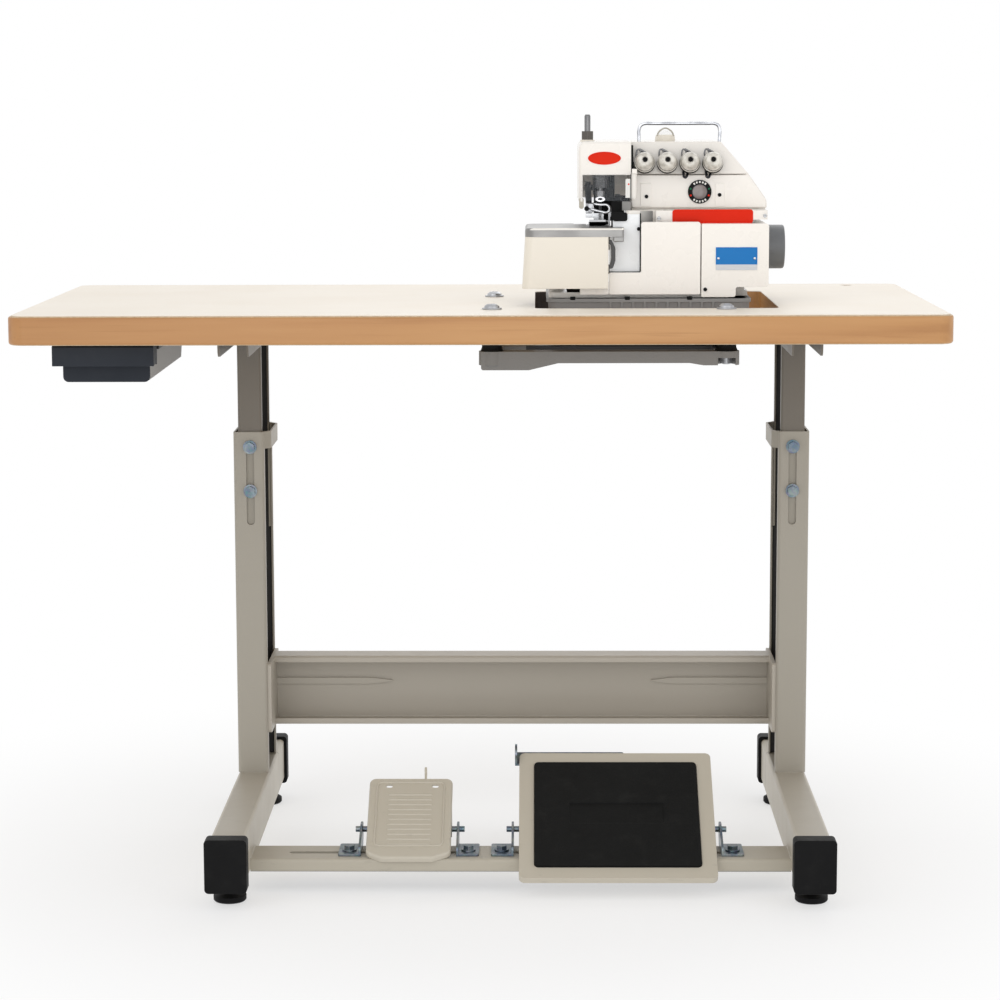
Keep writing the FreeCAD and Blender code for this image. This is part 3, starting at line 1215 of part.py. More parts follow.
def main_shaft():
    """Drive shaft with two eccentrics and a balance weight."""
    x0 = BODY_X - 8
    pieces = [rod("x", x0, SHAFT_Y, SHAFT_Z, SHAFT_R, NX + 245 - x0)]
    pieces.append(rod("x", NX + 70, SHAFT_Y, SHAFT_Z + 4, SHAFT_R + 6, 8))
    pieces.append(rod("x", NX + 92, SHAFT_Y, SHAFT_Z - 4, SHAFT_R + 6, 8))
    disc = rod("x", NX + 120, SHAFT_Y, SHAFT_Z, SHAFT_R * 4, 10)
    far = SHAFT_R * 5
    half = box(NX + 119, NX + 131, SHAFT_Y - far, SHAFT_Y + far, SHAFT_Z + 2, SHAFT_Z + far)
    pieces.append(disc.cut(half))
    return join(*pieces)


def handwheel():
    """Wheel and grooved belt pulley turned in one piece."""
    a = NX + 195
    end = NX + WHEEL_REACH - a
    r = WHEEL_R
    shape = [
        (0, SHAFT_R), (0, r - 5), (2, r - 1.5), (4, r - 1.5),
        (8, r - 9), (10, r - 9), (14, r - 1.5), (16, r - 1.5),
    ]
    shape += [(17, r - 7), (19, r - 7), (21, r - 1), (22, r), (end - 2, r), (end, r - 2), (end, r - 8)]
    shape += [(end - 5, r - 11), (end - 6, SHAFT_R + 4), (end - 6, SHAFT_R)]
    return turned("x", a, SHAFT_Y, SHAFT_Z, shape)


def needle_bar():
    return rod("z", NX, NY, T + 143, BAR_R, 62)


def needle_clamp():
    """Clamp block with its screw and two needles."""
    block = plate("z", rounded(NX - 6, NX + 6, NY - 6, NY + 6, 3), T + 138, T + 148)
    block = join(block, rod("y", NX, NY - 8.5, T + 142.5, 2.6, 4))
    block = block.cut(rod("z", NX, NY, T + 143, BAR_R, 10))
    pieces = [block]
    for side in (-1, 1):
        shape = [(0, 0), (3, NEEDLE_R / 2), (6, NEEDLE_R), (31, NEEDLE_R), (31, 0)]
        pieces.append(turned("z", NX + side * 1.1, NY + side, T + 107, shape))
    return Part.makeCompound(pieces)


def presser_arm():
    """Cranked arm from the pivot stud to the foot."""
    a = PRESS_Y
    side = [
        (a + 9, PRESS_Z - 8, 7), (a + 9, PRESS_Z + 8, 7), (a - 9, PRESS_Z + 8, 7),
        (NY + 14, T + 138, 5), (NY + 5, T + 132, 4),
    ]
    side += [(NY + 5, T + 118, 1), (NY + 20, T + 118, 1), (NY + 24, T + 125, 4), (a - 10, PRESS_Z - 9, 6)]
    bar = plate("x", side, NX - 19, NX - 11)
    return bar.cut(rod("x", NX - 21, PRESS_Y, PRESS_Z, PIN_R + RUN_FIT, 12))


def presser_foot():
    """Sole with an upturned toe, needle slot and shank."""
    z0 = PLATE + 0.4
    side = [
        (NY - 38, z0 + 5, 0.5), (NY - 28, z0, 8), (NY + 20, z0, 1), (NY + 20, z0 + 3, 1),
        (NY - 27, z0 + 3, 8), (NY - 37, z0 + 8, 0.5),
    ]
    sole = plate("x", side, NX - 15, NX + 6.5)
    sole = sole.cut(plate("z", rounded(NX - 4.5, NX + 4.5, NY - 6, NY + 10, 2), z0 - 1, z0 + 5))
    front, back = NY + 11, NY + 19
    shank = box(NX - 8, NX + 5, front, back, z0 + 1, PLATE + 12)
    yoke = box(NX - 19, NX + 5, front, back, PLATE + 9, PLATE + 15)
    return join(sole, shank, yoke)


def parts():
    """Every named piece in the shared frame."""
    left = leg_frame()
    slide = inner_leg()
    made = {
        "leg_frame_left": left,
        "leg_frame_right": mirrored_x(left, STAND_OFFSET),
        "rear_beam": rear_beam(),
        "treadle_bar": treadle_bar(),
        "foot_end_caps": end_caps(),
        "treadle_brackets": treadle_brackets(),
        "bracket_bolts": bracket_bolts(),
        "lift_pedal": lift_plate(),
        "treadle_plate": treadle_plate(),
        "treadle_mat": treadle_mat(),
        "treadle_link": treadle_link(),
        "inner_leg_left": slide,
        "inner_leg_right": mirrored_x(slide, STAND_OFFSET),
        "height_clamp_bolts": clamp_bolts(),
        "table_top": table_top(),
        "table_laminate": table_laminate(),
        "drawer_rails": drawer_rails(),
        "drawer_tray": drawer_tray(),
        "drawer_front": drawer_front(),
        "hanging_frame": hanging_frame(),
        "rubber_cushions": cushions(),
        "hanging_bolts": hanging_bolts(),
        "oil_pan": oil_pan(),
        "bed_casting": bed_casting(),
        "arm_casting": arm_casting(),
        "face_cover": face_cover(),
        "tension_panel": tension_panel(),
        "lower_panel": lower_panel(),
        "belt_cover": belt_cover(),
        "front_cover": front_cover(),
        "needle_plate": needle_plate(),
        "feed_dogs": feed_dogs(),
        "lower_knife": lower_knife(),
        "upper_knife": upper_knife(),
        "upper_looper": upper_looper(),
        "lower_looper": lower_looper(),
        "main_shaft": main_shaft(),
        "handwheel": handwheel(),
        "needle_bar": needle_bar(),
        "needle_clamp": needle_clamp(),
        "presser_arm": presser_arm(),
        "presser_foot": presser_foot(),
        "pressure_screw": pressure_screw(),
        "eye_guard": eye_guard(),
        "chip_guard": chip_guard(),
        "cloth_plate": cloth_plate(),
        "cloth_apron": cloth_apron(),
        "cloth_latch": cloth_latch(),
        "tension_posts": tension_posts(),
        "thread_guide": thread_guide(),
        "oil_dome": oil_dome(),
        "head_screws": head_screws(),
    }
    for k, x in enumerate(KNOBS):
        made["tension_knob_%d" % (k + 1)] = tension_knob(x)
    right = 2 * STAND_OFFSET - GLIDE_X
    for side, x in (("left", GLIDE_X), ("right", right)):
        for end, y in zip(("front", "rear"), GLIDE_SPOTS):
            made["glide_%s_%s" % (end, side)] = levelling_foot(x, y)
    return made


if __name__ == "__main__":
    for name, shape in parts().items():
        shape.translate(V(0, ORIGIN_SHIFT, 0))
        shape.exportStep("parts/%s.step" % name)
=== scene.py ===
import bpy
import json
import math
from mathutils import Matrix, Vector


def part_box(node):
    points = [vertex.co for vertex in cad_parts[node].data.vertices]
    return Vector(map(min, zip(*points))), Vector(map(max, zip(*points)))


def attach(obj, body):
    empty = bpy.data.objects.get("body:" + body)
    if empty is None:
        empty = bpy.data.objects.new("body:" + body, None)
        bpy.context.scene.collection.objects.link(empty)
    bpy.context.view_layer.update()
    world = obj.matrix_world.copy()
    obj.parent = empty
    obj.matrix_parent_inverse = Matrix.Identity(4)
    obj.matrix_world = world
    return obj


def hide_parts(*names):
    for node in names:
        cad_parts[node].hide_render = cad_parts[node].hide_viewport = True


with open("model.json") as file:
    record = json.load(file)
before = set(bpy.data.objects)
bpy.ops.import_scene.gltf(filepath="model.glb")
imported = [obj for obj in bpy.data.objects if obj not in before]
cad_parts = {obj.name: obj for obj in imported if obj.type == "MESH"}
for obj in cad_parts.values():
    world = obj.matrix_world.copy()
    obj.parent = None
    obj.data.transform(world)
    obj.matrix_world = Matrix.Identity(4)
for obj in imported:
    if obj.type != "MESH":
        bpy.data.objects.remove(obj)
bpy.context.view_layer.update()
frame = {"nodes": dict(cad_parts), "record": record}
NODES = frame["nodes"]

# Places in millimetres, x and y from the middle of the table and z from the floor, and slopes in degrees
SHIFT_Y = 17.5
NEEDLE_X = 157.0
NEEDLE_Y = -66.0
PANEL_Y = -85.0
FACE_Y = -100.0
GUARD_Y = -105.0
BED_Y = -128.0
CHAMBER_Y = -133.0
COVER_Y = -150.0
WHEEL_X = 352.0
SHAFT = (-20.0, 836.0)
KNOB_XS = (215.0, 245.0, 275.0, 305.0)
KNOB_Z = 948.0
LEAN_Z = 936.0
LEAN = 14.0
WINDOW_X = 288.6
WINDOW_Z = 912.2
PLATE_Z = 868.0
ARM_TOP = 978.0
RAIL_TOP = 89.0
BAR_TOP = 45.0
BEARER_UNDER = 724.5
HATCH_Y = 73.0
PEDAL_PIVOT = (-172.5, 66.5)
PEDAL_DROP = 26.0
PEDAL_TILT = 31.0

# Heights in metres between which the stand's paint is scuffed, and the colour of faces that get no light
SCUFF_BAND = (0.03, 0.16)
UNLIT = (48, 47, 48)

# Stations of the shared frame in millimetres: front of the work plate and top of the belt cover
PLATE_FRONT = -150.0
COVER_TOP = 876.7


def at(x, y, z):
    """A point of the shared frame in metres."""
    return Vector((x, y + SHIFT_Y, z)) / 1000


def srgb(r, g, b):
    """A colour as it is seen on a screen, made linear."""
    def linear(v):
        v = v / 255
        return v / 12.92 if v <= 0.04045 else ((v + 0.055) / 1.055) ** 2.4
    return (linear(r), linear(g), linear(b), 1.0)


class Signal:
    """A value in a finish's node tree; arithmetic on it adds the nodes."""

    def __init__(self, finish, socket):
        self.finish = finish
        self.socket = socket

    def math(self, operation, first, second):
        return self.finish.node("ShaderNodeMath", {"operation": operation}, {0: first, 1: second})

    def __add__(self, other):
        return self.math("ADD", self, other)

    def __radd__(self, other):
        return self.math("ADD", other, self)

    def __sub__(self, other):
        return self.math("SUBTRACT", self, other)

    def __rsub__(self, other):
        return self.math("SUBTRACT", other, self)

    def __mul__(self, other):
        return self.math("MULTIPLY", self, other)

    def __rmul__(self, other):
        return self.math("MULTIPLY", other, self)

    def step(self, low, high):
        """Rises smoothly from 0 to 1 between two values."""
        ends = {"Value": self, "From Min": low, "From Max": high}
        return self.finish.node("ShaderNodeMapRange", {"interpolation_type": "SMOOTHSTEP"}, ends)


class Finish:
    """One procedural material on the principled shader, read from object coordinates."""

    def __init__(self, name, **fixed):
        self.material = bpy.data.materials.new(name)
        self.material.use_nodes = True
        self.tree = self.material.node_tree
        self.shader = self.tree.nodes["Principled BSDF"]
        self.place = self.node("ShaderNodeTexCoord", {}, {}, "Object")
        for key, value in fixed.items():
            self.shader.inputs[key.replace("_", " ")].default_value = value

    def node(self, kind, settings, sockets, output=0):
        """Any node: its settings first, then the values or links of its sockets."""
        made = self.tree.nodes.new(kind)
        for key, value in settings.items():
            if key == "stops":
                ramp = made.color_ramp
                while len(ramp.elements) < len(value):
                    ramp.elements.new(0.5)
                for element, (position, colour) in zip(ramp.elements, value):
                    element.position = position
                    element.color = colour
            else:
                setattr(made, key, value)
        for key, value in sockets.items():
            if isinstance(value, Signal):
                self.tree.links.new(value.socket, made.inputs[key])
            else:
                made.inputs[key].default_value = value
        return Signal(self, made.outputs[output])

    def noise(self, scale, detail, stretch=None):
        spot = self.place
        if stretch:
            spot = self.node("ShaderNodeMapping", {}, {"Vector": spot, "Scale": stretch})
        return self.node("ShaderNodeTexNoise", {}, {"Vector": spot, "Scale": scale, "Detail": detail})

    def cells(self, scale, output="Distance"):
        return self.node("ShaderNodeTexVoronoi", {}, {"Vector": self.place, "Scale": scale}, output)

    def along(self, axis):
        return self.node("ShaderNodeSeparateXYZ", {}, {"Vector": self.place}, axis)

    def within(self, axis, low, high, blur=0.3):
        """1 between two stations along an axis, in millimetres of the shared frame."""
        spot = self.along(axis) * 1000.0
        return spot.step(low - blur, low + blur) * (1 - spot.step(high - blur, high + blur))

    def turned_to(self, axis):
        normal = self.node("ShaderNodeTexCoord", {}, {}, "Normal")
        return self.node("ShaderNodeSeparateXYZ", {}, {"Vector": normal}, axis)

    def facing(self, axis):
        part = self.turned_to(axis)
        return part.math("ABSOLUTE", part, 0.0)

    def mix(self, factor, first, second):
        return self.node("ShaderNodeMix", {"data_type": "RGBA"}, {0: factor, 6: first, 7: second}, 2)

    def bump(self, height, distance, strength):
        sockets = {"Height": height, "Distance": distance, "Strength": strength}
        self.feed("Normal", self.node("ShaderNodeBump", {}, sockets))

    def feed(self, name, signal):
        self.tree.links.new(signal.socket, self.shader.inputs[name])


def paint(name, colour, shade, roughness, peel=0.00012, scuffs=0.0, shaded_zones=None, lower=None, **fixed):
    """Sprayed enamel: orange peel, drifting tone, rubbed marks, a lighter tone low down that is painted
    light, and painted shade on faces that get no light.
    """
    made = Finish(name, **fixed)
    drift = made.noise(5.0, 3.0).step(0.3, 0.75)
    tone = made.mix(drift * 0.25, srgb(*colour), srgb(*shade))
    # Painted light: a lighter tone below the given height, for the lit low parts.
    if lower:
        lit_low_tone, height = lower
        tone = made.mix(1 - made.along("Z").step(height, height + 0.001), tone, srgb(*lit_low_tone))
    if scuffs:
        near_floor = 1 - made.along("Z").step(*SCUFF_BAND)
        rubbed = made.noise(70.0, 6.0, (0.5, 1.0, 2.0)).step(0.60, 0.72) * near_floor
        dark = tuple(v * 0.55 for v in shade)
        tone = made.mix(rubbed * scuffs, tone, srgb(*dark))
    # Painted shade: faces inside the shaded zones take the UNLIT colour.
    if shaded_zones:
        inside = 1.0
        for axis, low, high in shaded_zones:
            inside = made.within(axis, low, high) * inside
        tone = made.mix(inside, tone, srgb(*UNLIT))
    made.feed("Base Color", tone)
    skin = made.noise(420.0, 2.0)
    made.feed("Roughness", made.noise(30.0, 4.0) * 0.16 + (roughness - 0.08))
    made.bump(skin, peel, 0.6)
    return made.material


def moulded(name, colour, shade, roughness, pebble=900.0, depth=0.00012, **fixed):
    """Moulded plastic or rubber with a fine pebbled skin."""
    made = Finish(name, **fixed)
    drift = made.noise(9.0, 4.0).step(0.3, 0.7)
    dust = made.noise(40.0, 6.0).step(0.5, 0.8)
    tone = made.mix(drift, srgb(*colour), srgb(*shade))
    made.feed("Base Color", made.mix(dust * 0.015, tone, srgb(150, 148, 142)))
    made.feed("Roughness", made.noise(60.0, 3.0) * 0.2 + (roughness - 0.1))
    made.bump(made.cells(pebble), depth, 0.5)
    return made.material


def metal(name, colour, shade, roughness, stretch=(1.0, 1.0, 1.0), scale=900.0, depth=0.00004):
    """Bare or plated metal with the lines of its last cut."""
    made = Finish(name, Metallic=1.0)
    lines = made.noise(scale, 3.0, stretch)
    cloud = made.noise(22.0, 4.0).step(0.3, 0.75)
    made.feed("Base Color", made.mix(cloud, srgb(*colour), srgb(*shade)))
    made.feed("Roughness", lines * 0.18 + cloud * 0.1 + (roughness - 0.13))
    made.bump(lines, depth, 0.5)
    return made.material


def zinc_plate():
    """Zinc plate with a faint blue tint and spangle."""
    made = Finish("zinc_plate", Metallic=1.0)
    tint = made.noise(55.0, 3.0).step(0.35, 0.65)
    spangle = made.cells(260.0, "Color")
    base = made.mix(tint, srgb(94, 110, 123), srgb(134, 142, 147))
    made.feed("Base Color", made.mix(0.04, base, spangle))
    made.feed("Roughness", made.noise(120.0, 3.0) * 0.25 + 0.2)
    made.bump(made.noise(700.0, 2.0), 0.00004, 0.4)
    return made.material


def beech_edge():
    """Honey coloured wood: grain along the edges, pores, painted shade darkening the left end, bare board
    below, painted shade in the rear left corner of the opening.
    """
    made = Finish("beech_edge", Coat_Weight=0.15, Coat_Roughness=0.25)
    side = made.facing("X").step(0.6, 0.8)
    down = made.facing("Z").step(0.6, 0.8)
    grain_x = made.noise(26.0, 5.0, (0.09, 1.0, 1.6))
    grain_y = made.noise(26.0, 5.0, (1.0, 0.09, 1.6))
    fine_x = made.noise(260.0, 3.0, (0.02, 1.0, 1.0))
    fine_y = made.noise(260.0, 3.0, (1.0, 0.02, 1.0))
    grain = grain_x * (1 - side) + grain_y * side
    fine = fine_x * (1 - side) + fine_y * side
    stops = [(0.25, srgb(164, 112, 62)), (0.48, srgb(186, 135, 82))]
    stops += [(0.62, srgb(191, 141, 88)), (0.8, srgb(178, 126, 74))]
    tone = made.node("ShaderNodeValToRGB", {"stops": stops}, {"Fac": grain})
    pores = fine.step(0.60, 0.72)
    tone = made.mix(pores * 0.22, tone, srgb(146, 96, 52))
    # Painted shade: the left end is darkened.
    left_shade = 1 - made.along("X").step(-0.62, 0.05)
    tone = made.mix(left_shade * 0.32, tone, srgb(150, 98, 52))
    board = [(0.2, srgb(170, 140, 102)), (0.8, srgb(212, 188, 152))]
    chips = made.node("ShaderNodeValToRGB", {"stops": board}, {"Fac": made.noise(210.0, 4.0)})
    tone = made.mix(down, tone, chips)
    # Painted shade: the rear left of the opening, which gets no light, is painted dark brown.
    opening_shade = made.within("X", 60, 135, 12.0) * made.within("Y", 100, 200, 4.0)
    made.feed("Base Color", made.mix(opening_shade, tone, srgb(46, 34, 26)))
    made.feed("Roughness", fine * 0.2 + 0.34)
    made.bump(fine, 0.0002, 0.35)
    return made.material


def cream_laminate():
    """Pressed laminate: cream, faint flecks, a slight grain and wiped patches."""
    made = Finish("cream_laminate", Coat_Weight=0.08, Coat_Roughness=0.3)
    fleck = made.cells(520.0).step(0.0, 0.28)
    cloud = made.noise(6.0, 4.0).step(0.3, 0.7)
    tone = made.mix(cloud, srgb(245, 236, 222), srgb(242, 232, 217))
    made.feed("Base Color", made.mix((1 - fleck) * 0.25, tone, srgb(230, 218, 200)))
    made.feed("Roughness", made.noise(14.0, 5.0) * 0.18 + 0.33)
    made.bump(made.noise(600.0, 2.0), 0.00006, 0.4)
    return made.material


def data_plate_finish():
    """Printed foil: a blue field over a silver strip."""
    made = Finish("data_plate_foil", Specular_IOR_Level=0.2)
    strip_top = 819.45
    top = made.within("Z", strip_top, COVER_TOP, 0.15)
    silver = made.mix(made.noise(900.0, 2.0, (0.05, 1.0, 1.0)), srgb(196, 200, 206), srgb(222, 224, 228))
    blue = made.mix(made.noise(12.0, 3.0), srgb(20, 112, 186), srgb(28, 122, 194))
    made.feed("Base Color", made.mix(top, silver, blue))
    made.feed("Roughness", made.noise(80.0, 3.0) * 0.12 + 0.28)
    return made.material


def tray_plastic():
    """Drawer moulding: dark front wall and paler long sides."""
    made = Finish("drawer_grey", Specular_IOR_Level=0.2)
    mottle = made.noise(60.0, 3.0)
    dark = made.mix(mottle, srgb(48, 52, 59), srgb(56, 60, 67))
    pale = made.mix(mottle, srgb(148, 147, 146), srgb(164, 163, 161))
    made.feed("Base Color", made.mix(made.facing("X").step(0.6, 0.8), dark, pale))
    made.feed("Roughness", mottle * 0.2 + 0.4)
    made.bump(made.cells(900.0), 0.00012, 0.5)
    return made.material


def recess_shade_paint():
    """Grey painted shade of the recess above the front cover, darker towards its right end."""
    made = Finish("recess_shade_paint", Specular_IOR_Level=0.2)
    # Painted shade: darker towards the recess's right end.
    end = made.along("X").step(0.2065, 0.2255)
    grain = made.noise(700.0, 3.0)
    tone = made.mix(end, srgb(200, 197, 192), srgb(112, 110, 108))
    made.feed("Base Color", made.mix(grain * 0.2, tone, srgb(150, 148, 145)))
    made.feed("Roughness", grain * 0.2 + 0.4)
    made.bump(grain, 0.0001, 0.5)
    return made.material


def plate_steel_highlighted():
    """Ground work plate with a painted highlight along its rolled front edge."""
    made = Finish("ground_steel", Metallic=1.0)
    lines = made.noise(900.0, 3.0, (0.03, 1.0, 1.0))
    cloud = made.noise(22.0, 4.0).step(0.3, 0.75)
    tone = made.mix(cloud, srgb(150, 149, 147), srgb(139, 138, 137))
    # Painted highlight: the rolled front edge is near white.
    front = made.within("Y", PLATE_FRONT, PLATE_FRONT + 5.4, 0.5)
    edge = made.within("Z", PLATE_Z - 2.4, PLATE_Z + 1, 0.5) * front
    made.feed("Base Color", made.mix(edge, tone, srgb(240, 236, 228)))
    made.feed("Roughness", lines * 0.18 + cloud * 0.1 + 0.23)
    made.bump(lines, 0.00004, 0.5)
    return made.material


def rail_chrome():
    """Bright rail wire with painted shade on its underside and painted reflections of its surroundings in
    spots.
    """
    made = Finish("rail_chrome", Metallic=1.0)
    # Painted reflections: spots of light and dark along the wire.
    spots = made.noise(70.0, 4.0).step(0.42, 0.62)
    # Painted light and shade: faces turned up are bright, faces turned down dim.
    lit_top = made.turned_to("Z").step(-0.75, 0.1)
    bright = made.mix(spots, srgb(226, 228, 233), srgb(186, 188, 194))
    underside_shade = made.mix(spots, srgb(92, 93, 98), srgb(134, 135, 140))
    made.feed("Base Color", made.mix(lit_top, underside_shade, bright))
    made.feed("Roughness", spots * 0.08 + 0.12)
    return made.material


def screw_steel():
    """Black screws, with the bright ones beside the red band and the grey lock nut on the arm."""
    made = Finish("screw_steel", Metallic=1.0)
    lines = made.noise(900.0, 3.0)
    bright = made.within("Y", BED_Y + SHIFT_Y - 4, BED_Y + SHIFT_Y + 2)
    dark = made.mix(lines, srgb(34, 34, 36), srgb(24, 24, 26))
    pale = made.mix(lines, srgb(196, 197, 198), srgb(168, 169, 172))
    nut = made.mix(lines, srgb(112, 108, 104), srgb(82, 79, 76))
    tone = made.mix(bright, dark, pale)
    made.feed("Base Color", made.mix(made.within("Z", ARM_TOP - 8, ARM_TOP + 32), tone, nut))
    made.feed("Roughness", lines * 0.2 + 0.26)
    return made.material


def clear_sheet(name, colour, alpha):
    """Clear plastic with a few fine rubbed lines."""
    made = Finish(name, Base_Color=srgb(*colour), IOR=1.49)
    lines = made.noise(300.0, 4.0, (0.2, 1.0, 1.0))
    made.feed("Alpha", lines.step(0.55, 0.8) * 0.1 + alpha)
    made.feed("Roughness", lines * 0.1 + 0.03)
    return made.material


def guard_sheet():
    """Clear guard with its pale hinge sleeve at the right end."""
    made = Finish("guard_acrylic", IOR=1.49)
    lines = made.noise(300.0, 4.0, (0.2, 1.0, 1.0))
    hinge = made.within("X", 196.4, 230)
    made.feed("Base Color", made.mix(hinge, srgb(150, 156, 162), srgb(238, 233, 226)))
    made.feed("Alpha", (lines.step(0.55, 0.8) * 0.06 + 0.06).math("MAXIMUM", hinge, lines * 0.1 + 0.02))
    made.feed("Roughness", lines * 0.1 + 0.03)
    return made.material


def foot_steel():
    """Presser foot: bright shank over a dark sole."""
    made = Finish("foot_steel", Metallic=1.0)
    lines = made.noise(900.0, 3.0, (0.1, 1.0, 1.0))
    sole = made.within("Z", PLATE_Z - 8, PLATE_Z + 5.6)
    bright = made.mix(lines, srgb(216, 217, 219), srgb(184, 186, 189))
    made.feed("Base Color", made.mix(sole, bright, srgb(40, 40, 42)))
    made.feed("Roughness", lines * 0.15 + 0.2)
    return made.material


def pearl_finish():
    """Clouded pearl plastic of the tension knobs."""
    made = Finish("pearl_knob", Coat_Weight=0.5, Coat_Roughness=0.12)
    cloud = made.noise(140.0, 3.0).step(0.35, 0.7)
    made.feed("Base Color", made.mix(cloud, srgb(226, 222, 213), srgb(186, 181, 171)))
    made.feed("Roughness", made.noise(300.0, 2.0) * 0.15 + 0.25)
    made.bump(made.noise(500.0, 2.0), 0.00005, 0.4)
    return made.material


def badge_finish(name, colour, shade):
    """Printed badge."""
    made = Finish(name, Specular_IOR_Level=0.12)
    made.feed("Base Color", made.mix(made.noise(40.0, 3.0), srgb(*colour), srgb(*shade)))
    made.feed("Roughness", made.noise(200.0, 2.0) * 0.1 + 0.3)
    return made.material


def wheel_lacquer():
    """Grey lacquer over turned aluminium, lathe lines round the wheel."""
    made = Finish("wheel_lacquer", Metallic=0.25)
    rings = made.noise(1400.0, 2.0, (1.0, 0.02, 0.02))
    cloud = made.noise(30.0, 3.0).step(0.3, 0.7)
    made.feed("Base Color", made.mix(cloud, srgb(112, 114, 116), srgb(104, 106, 109)))
    made.feed("Roughness", rings * 0.15 + 0.36)
    made.bump(rings, 0.00005, 0.5)
    return made.material


def dial_glass():
    """Brown glass of the oil window."""
    made = Finish("dial_glass", Coat_Weight=1.0, Coat_Roughness=0.04)
    made.feed("Base Color", made.mix(made.noise(180.0, 3.0), srgb(98, 84, 82), srgb(126, 112, 108)))
    made.feed("Roughness", made.noise(90.0, 2.0) * 0.1 + 0.2)
    return made.material


# Faces that get no light, in millimetres of the shared frame: inside hood, nose and channels, undersides
HOOD_ROOM = (("X", 131.2, 250), ("Y", -79.2, 76.2), ("Z", 880, 975.4))
NOSE_ROOM = (("X", 100, 196.4),)
LEG_ROOM = (("Y", 202.4, 204.0), ("X", -349, 449))
BAR_UNDER = (("Z", 20, 28.2),)
PAN_UNDER = (("Z", 600, 728),)
FRAME_REAR = (("X", 58, 330), ("Y", -150, 194))
INNER_ROOM = (("Y", 199.2, 200.8), ("X", -343, 443), ("Z", 400, 722))
WHITE = (243, 238, 231), (239, 234, 226), 0.28
STAND = (162, 156, 144), (156, 149, 137), 0.42
GLOSS = {"Coat_Weight": 0.35, "Coat_Roughness": 0.12}
DULL = {"Specular_IOR_Level": 0.14}

FINISHES = {
    # Stand: painted light on the foot rails below 88.5 mm, and painted shade inside the leg channels.
    "stand": paint("stand_enamel", *STAND, scuffs=0.1, shaded_zones=LEG_ROOM, lower=((184, 177, 163), 0.0885)),
    # Treadle bar: the stand's paint as a lighter copy, painted light, with painted shade on its underside.
    "bar": paint("bar_enamel_lit", (177, 170, 155), (171, 164, 149), 0.42, scuffs=0.1, shaded_zones=BAR_UNDER),
    # Rear beam: the stand's paint as a lighter copy, painted light against the shade of the table.
    "beam": paint("beam_enamel_lit", (176, 169, 157), (170, 163, 150), 0.42),
    # Inner legs: the stand's paint as a darker copy, painted shade from the table top, lighter below 575 mm
    # as painted light, with painted shade in the channel.
    "inner": paint("inner_enamel_shaded", (112, 105, 95), (104, 97, 87), 0.45, shaded_zones=INNER_ROOM,
                   lower=((152, 146, 134), 0.575)),
    "treadle": paint("treadle_enamel", (192, 185, 170), (186, 178, 162), 0.44, scuffs=0.12),
    "cap": moulded("cap_plastic", (10, 10, 11), (14, 14, 15), 0.55, **DULL),
    "rubber": moulded("mat_rubber", (13, 14, 14), (18, 19, 19), 0.62, pebble=520.0, depth=0.0003, **DULL),
    # Painted shade: the dark sheet on the flange under the apron.
    "painted_flange_shade": moulded("flange_shade_sheet", (30, 28, 26), (40, 37, 34), 0.9, pebble=2200.0, Specular_IOR_Level=0.0),
    "latch": moulded("latch_plastic", (66, 65, 64), (52, 52, 52), 0.42),
    "zinc": zinc_plate(),
    "wood": beech_edge(),
    "laminate": cream_laminate(),
    "drawer_dark": moulded("drawer_dark", (40, 44, 51), (46, 50, 57), 0.48, **DULL),
    "drawer_tray": tray_plastic(),
    "black": paint("black_japan", (30, 30, 31), (44, 43, 42), 0.45),
    "casting": paint("frame_casting", (122, 120, 117), (110, 108, 106), 0.5, peel=0.0003, shaded_zones=FRAME_REAR),
    "pan": paint("pan_casting", (142, 141, 139), (130, 129, 128), 0.46, peel=0.0003, shaded_zones=PAN_UNDER),
    "head": paint("head_enamel", *WHITE, **GLOSS),
    "hood": paint("hood_enamel", *WHITE, shaded_zones=HOOD_ROOM, **GLOSS),
    "arm": paint("arm_enamel", *WHITE, shaded_zones=NOSE_ROOM, **GLOSS),
    "apron": paint("apron_enamel", (234, 227, 214), (230, 222, 207), 0.32,
                   Coat_Weight=0.2, Coat_Roughness=0.2),
    # Chamber sheet: the head's white made brighter, painted light on the recessed sheet.
    "chamber": paint("chamber_enamel_lit", (250, 252, 254), (245, 248, 251), 0.3, Coat_Weight=0.3),
    "ground": plate_steel_highlighted(),
    "tool": metal("tool_steel", (190, 191, 194), (160, 161, 165), 0.3, (1.0, 0.1, 1.0)),
    "chrome": metal("chrome_plate", (226, 227, 230), (205, 207, 211), 0.14, scale=300.0, depth=0.00001),
    "grey_steel": metal("grey_steel", (138, 138, 139), (112, 112, 114), 0.34, (1.0, 1.0, 0.1)),
    "dark_steel": metal("blued_steel", (74, 74, 78), (54, 54, 58), 0.38, (1.0, 1.0, 0.1)),
    "screw": screw_steel(),
    "foot": foot_steel(),
    "clear": guard_sheet(),
    "dome": clear_sheet("dome_acrylic", (226, 226, 220), 0.12),
    "bail": moulded("bail_plastic", (192, 187, 176), (178, 173, 162), 0.4),
    "rail": rail_chrome(),
    "shaded_recess": recess_shade_paint(),
    "wheel": wheel_lacquer(),
    "pearl": pearl_finish(),
    "red": badge_finish("badge_red", (226, 40, 6), (218, 34, 3)),
    "green": badge_finish("mark_green", (36, 112, 78), (30, 98, 66)),
    "plate": data_plate_finish(),
    "dial": dial_glass(),
    "white": moulded("white_plastic", (236, 235, 230), (226, 224, 218), 0.4),
}


def deselect():
    if bpy.context.mode != "OBJECT":
        bpy.ops.object.mode_set(mode="OBJECT")
    bpy.ops.object.select_all(action="DESELECT")


def hold(piece):
    """Makes one object the only selected and active one."""
    deselect()
    piece.select_set(True)
    bpy.context.view_layer.objects.active = piece


def settle(piece):
    """Puts the piece's place and turn into its mesh."""
    hold(piece)
    bpy.ops.object.transform_apply(location=True, rotation=True, scale=True)


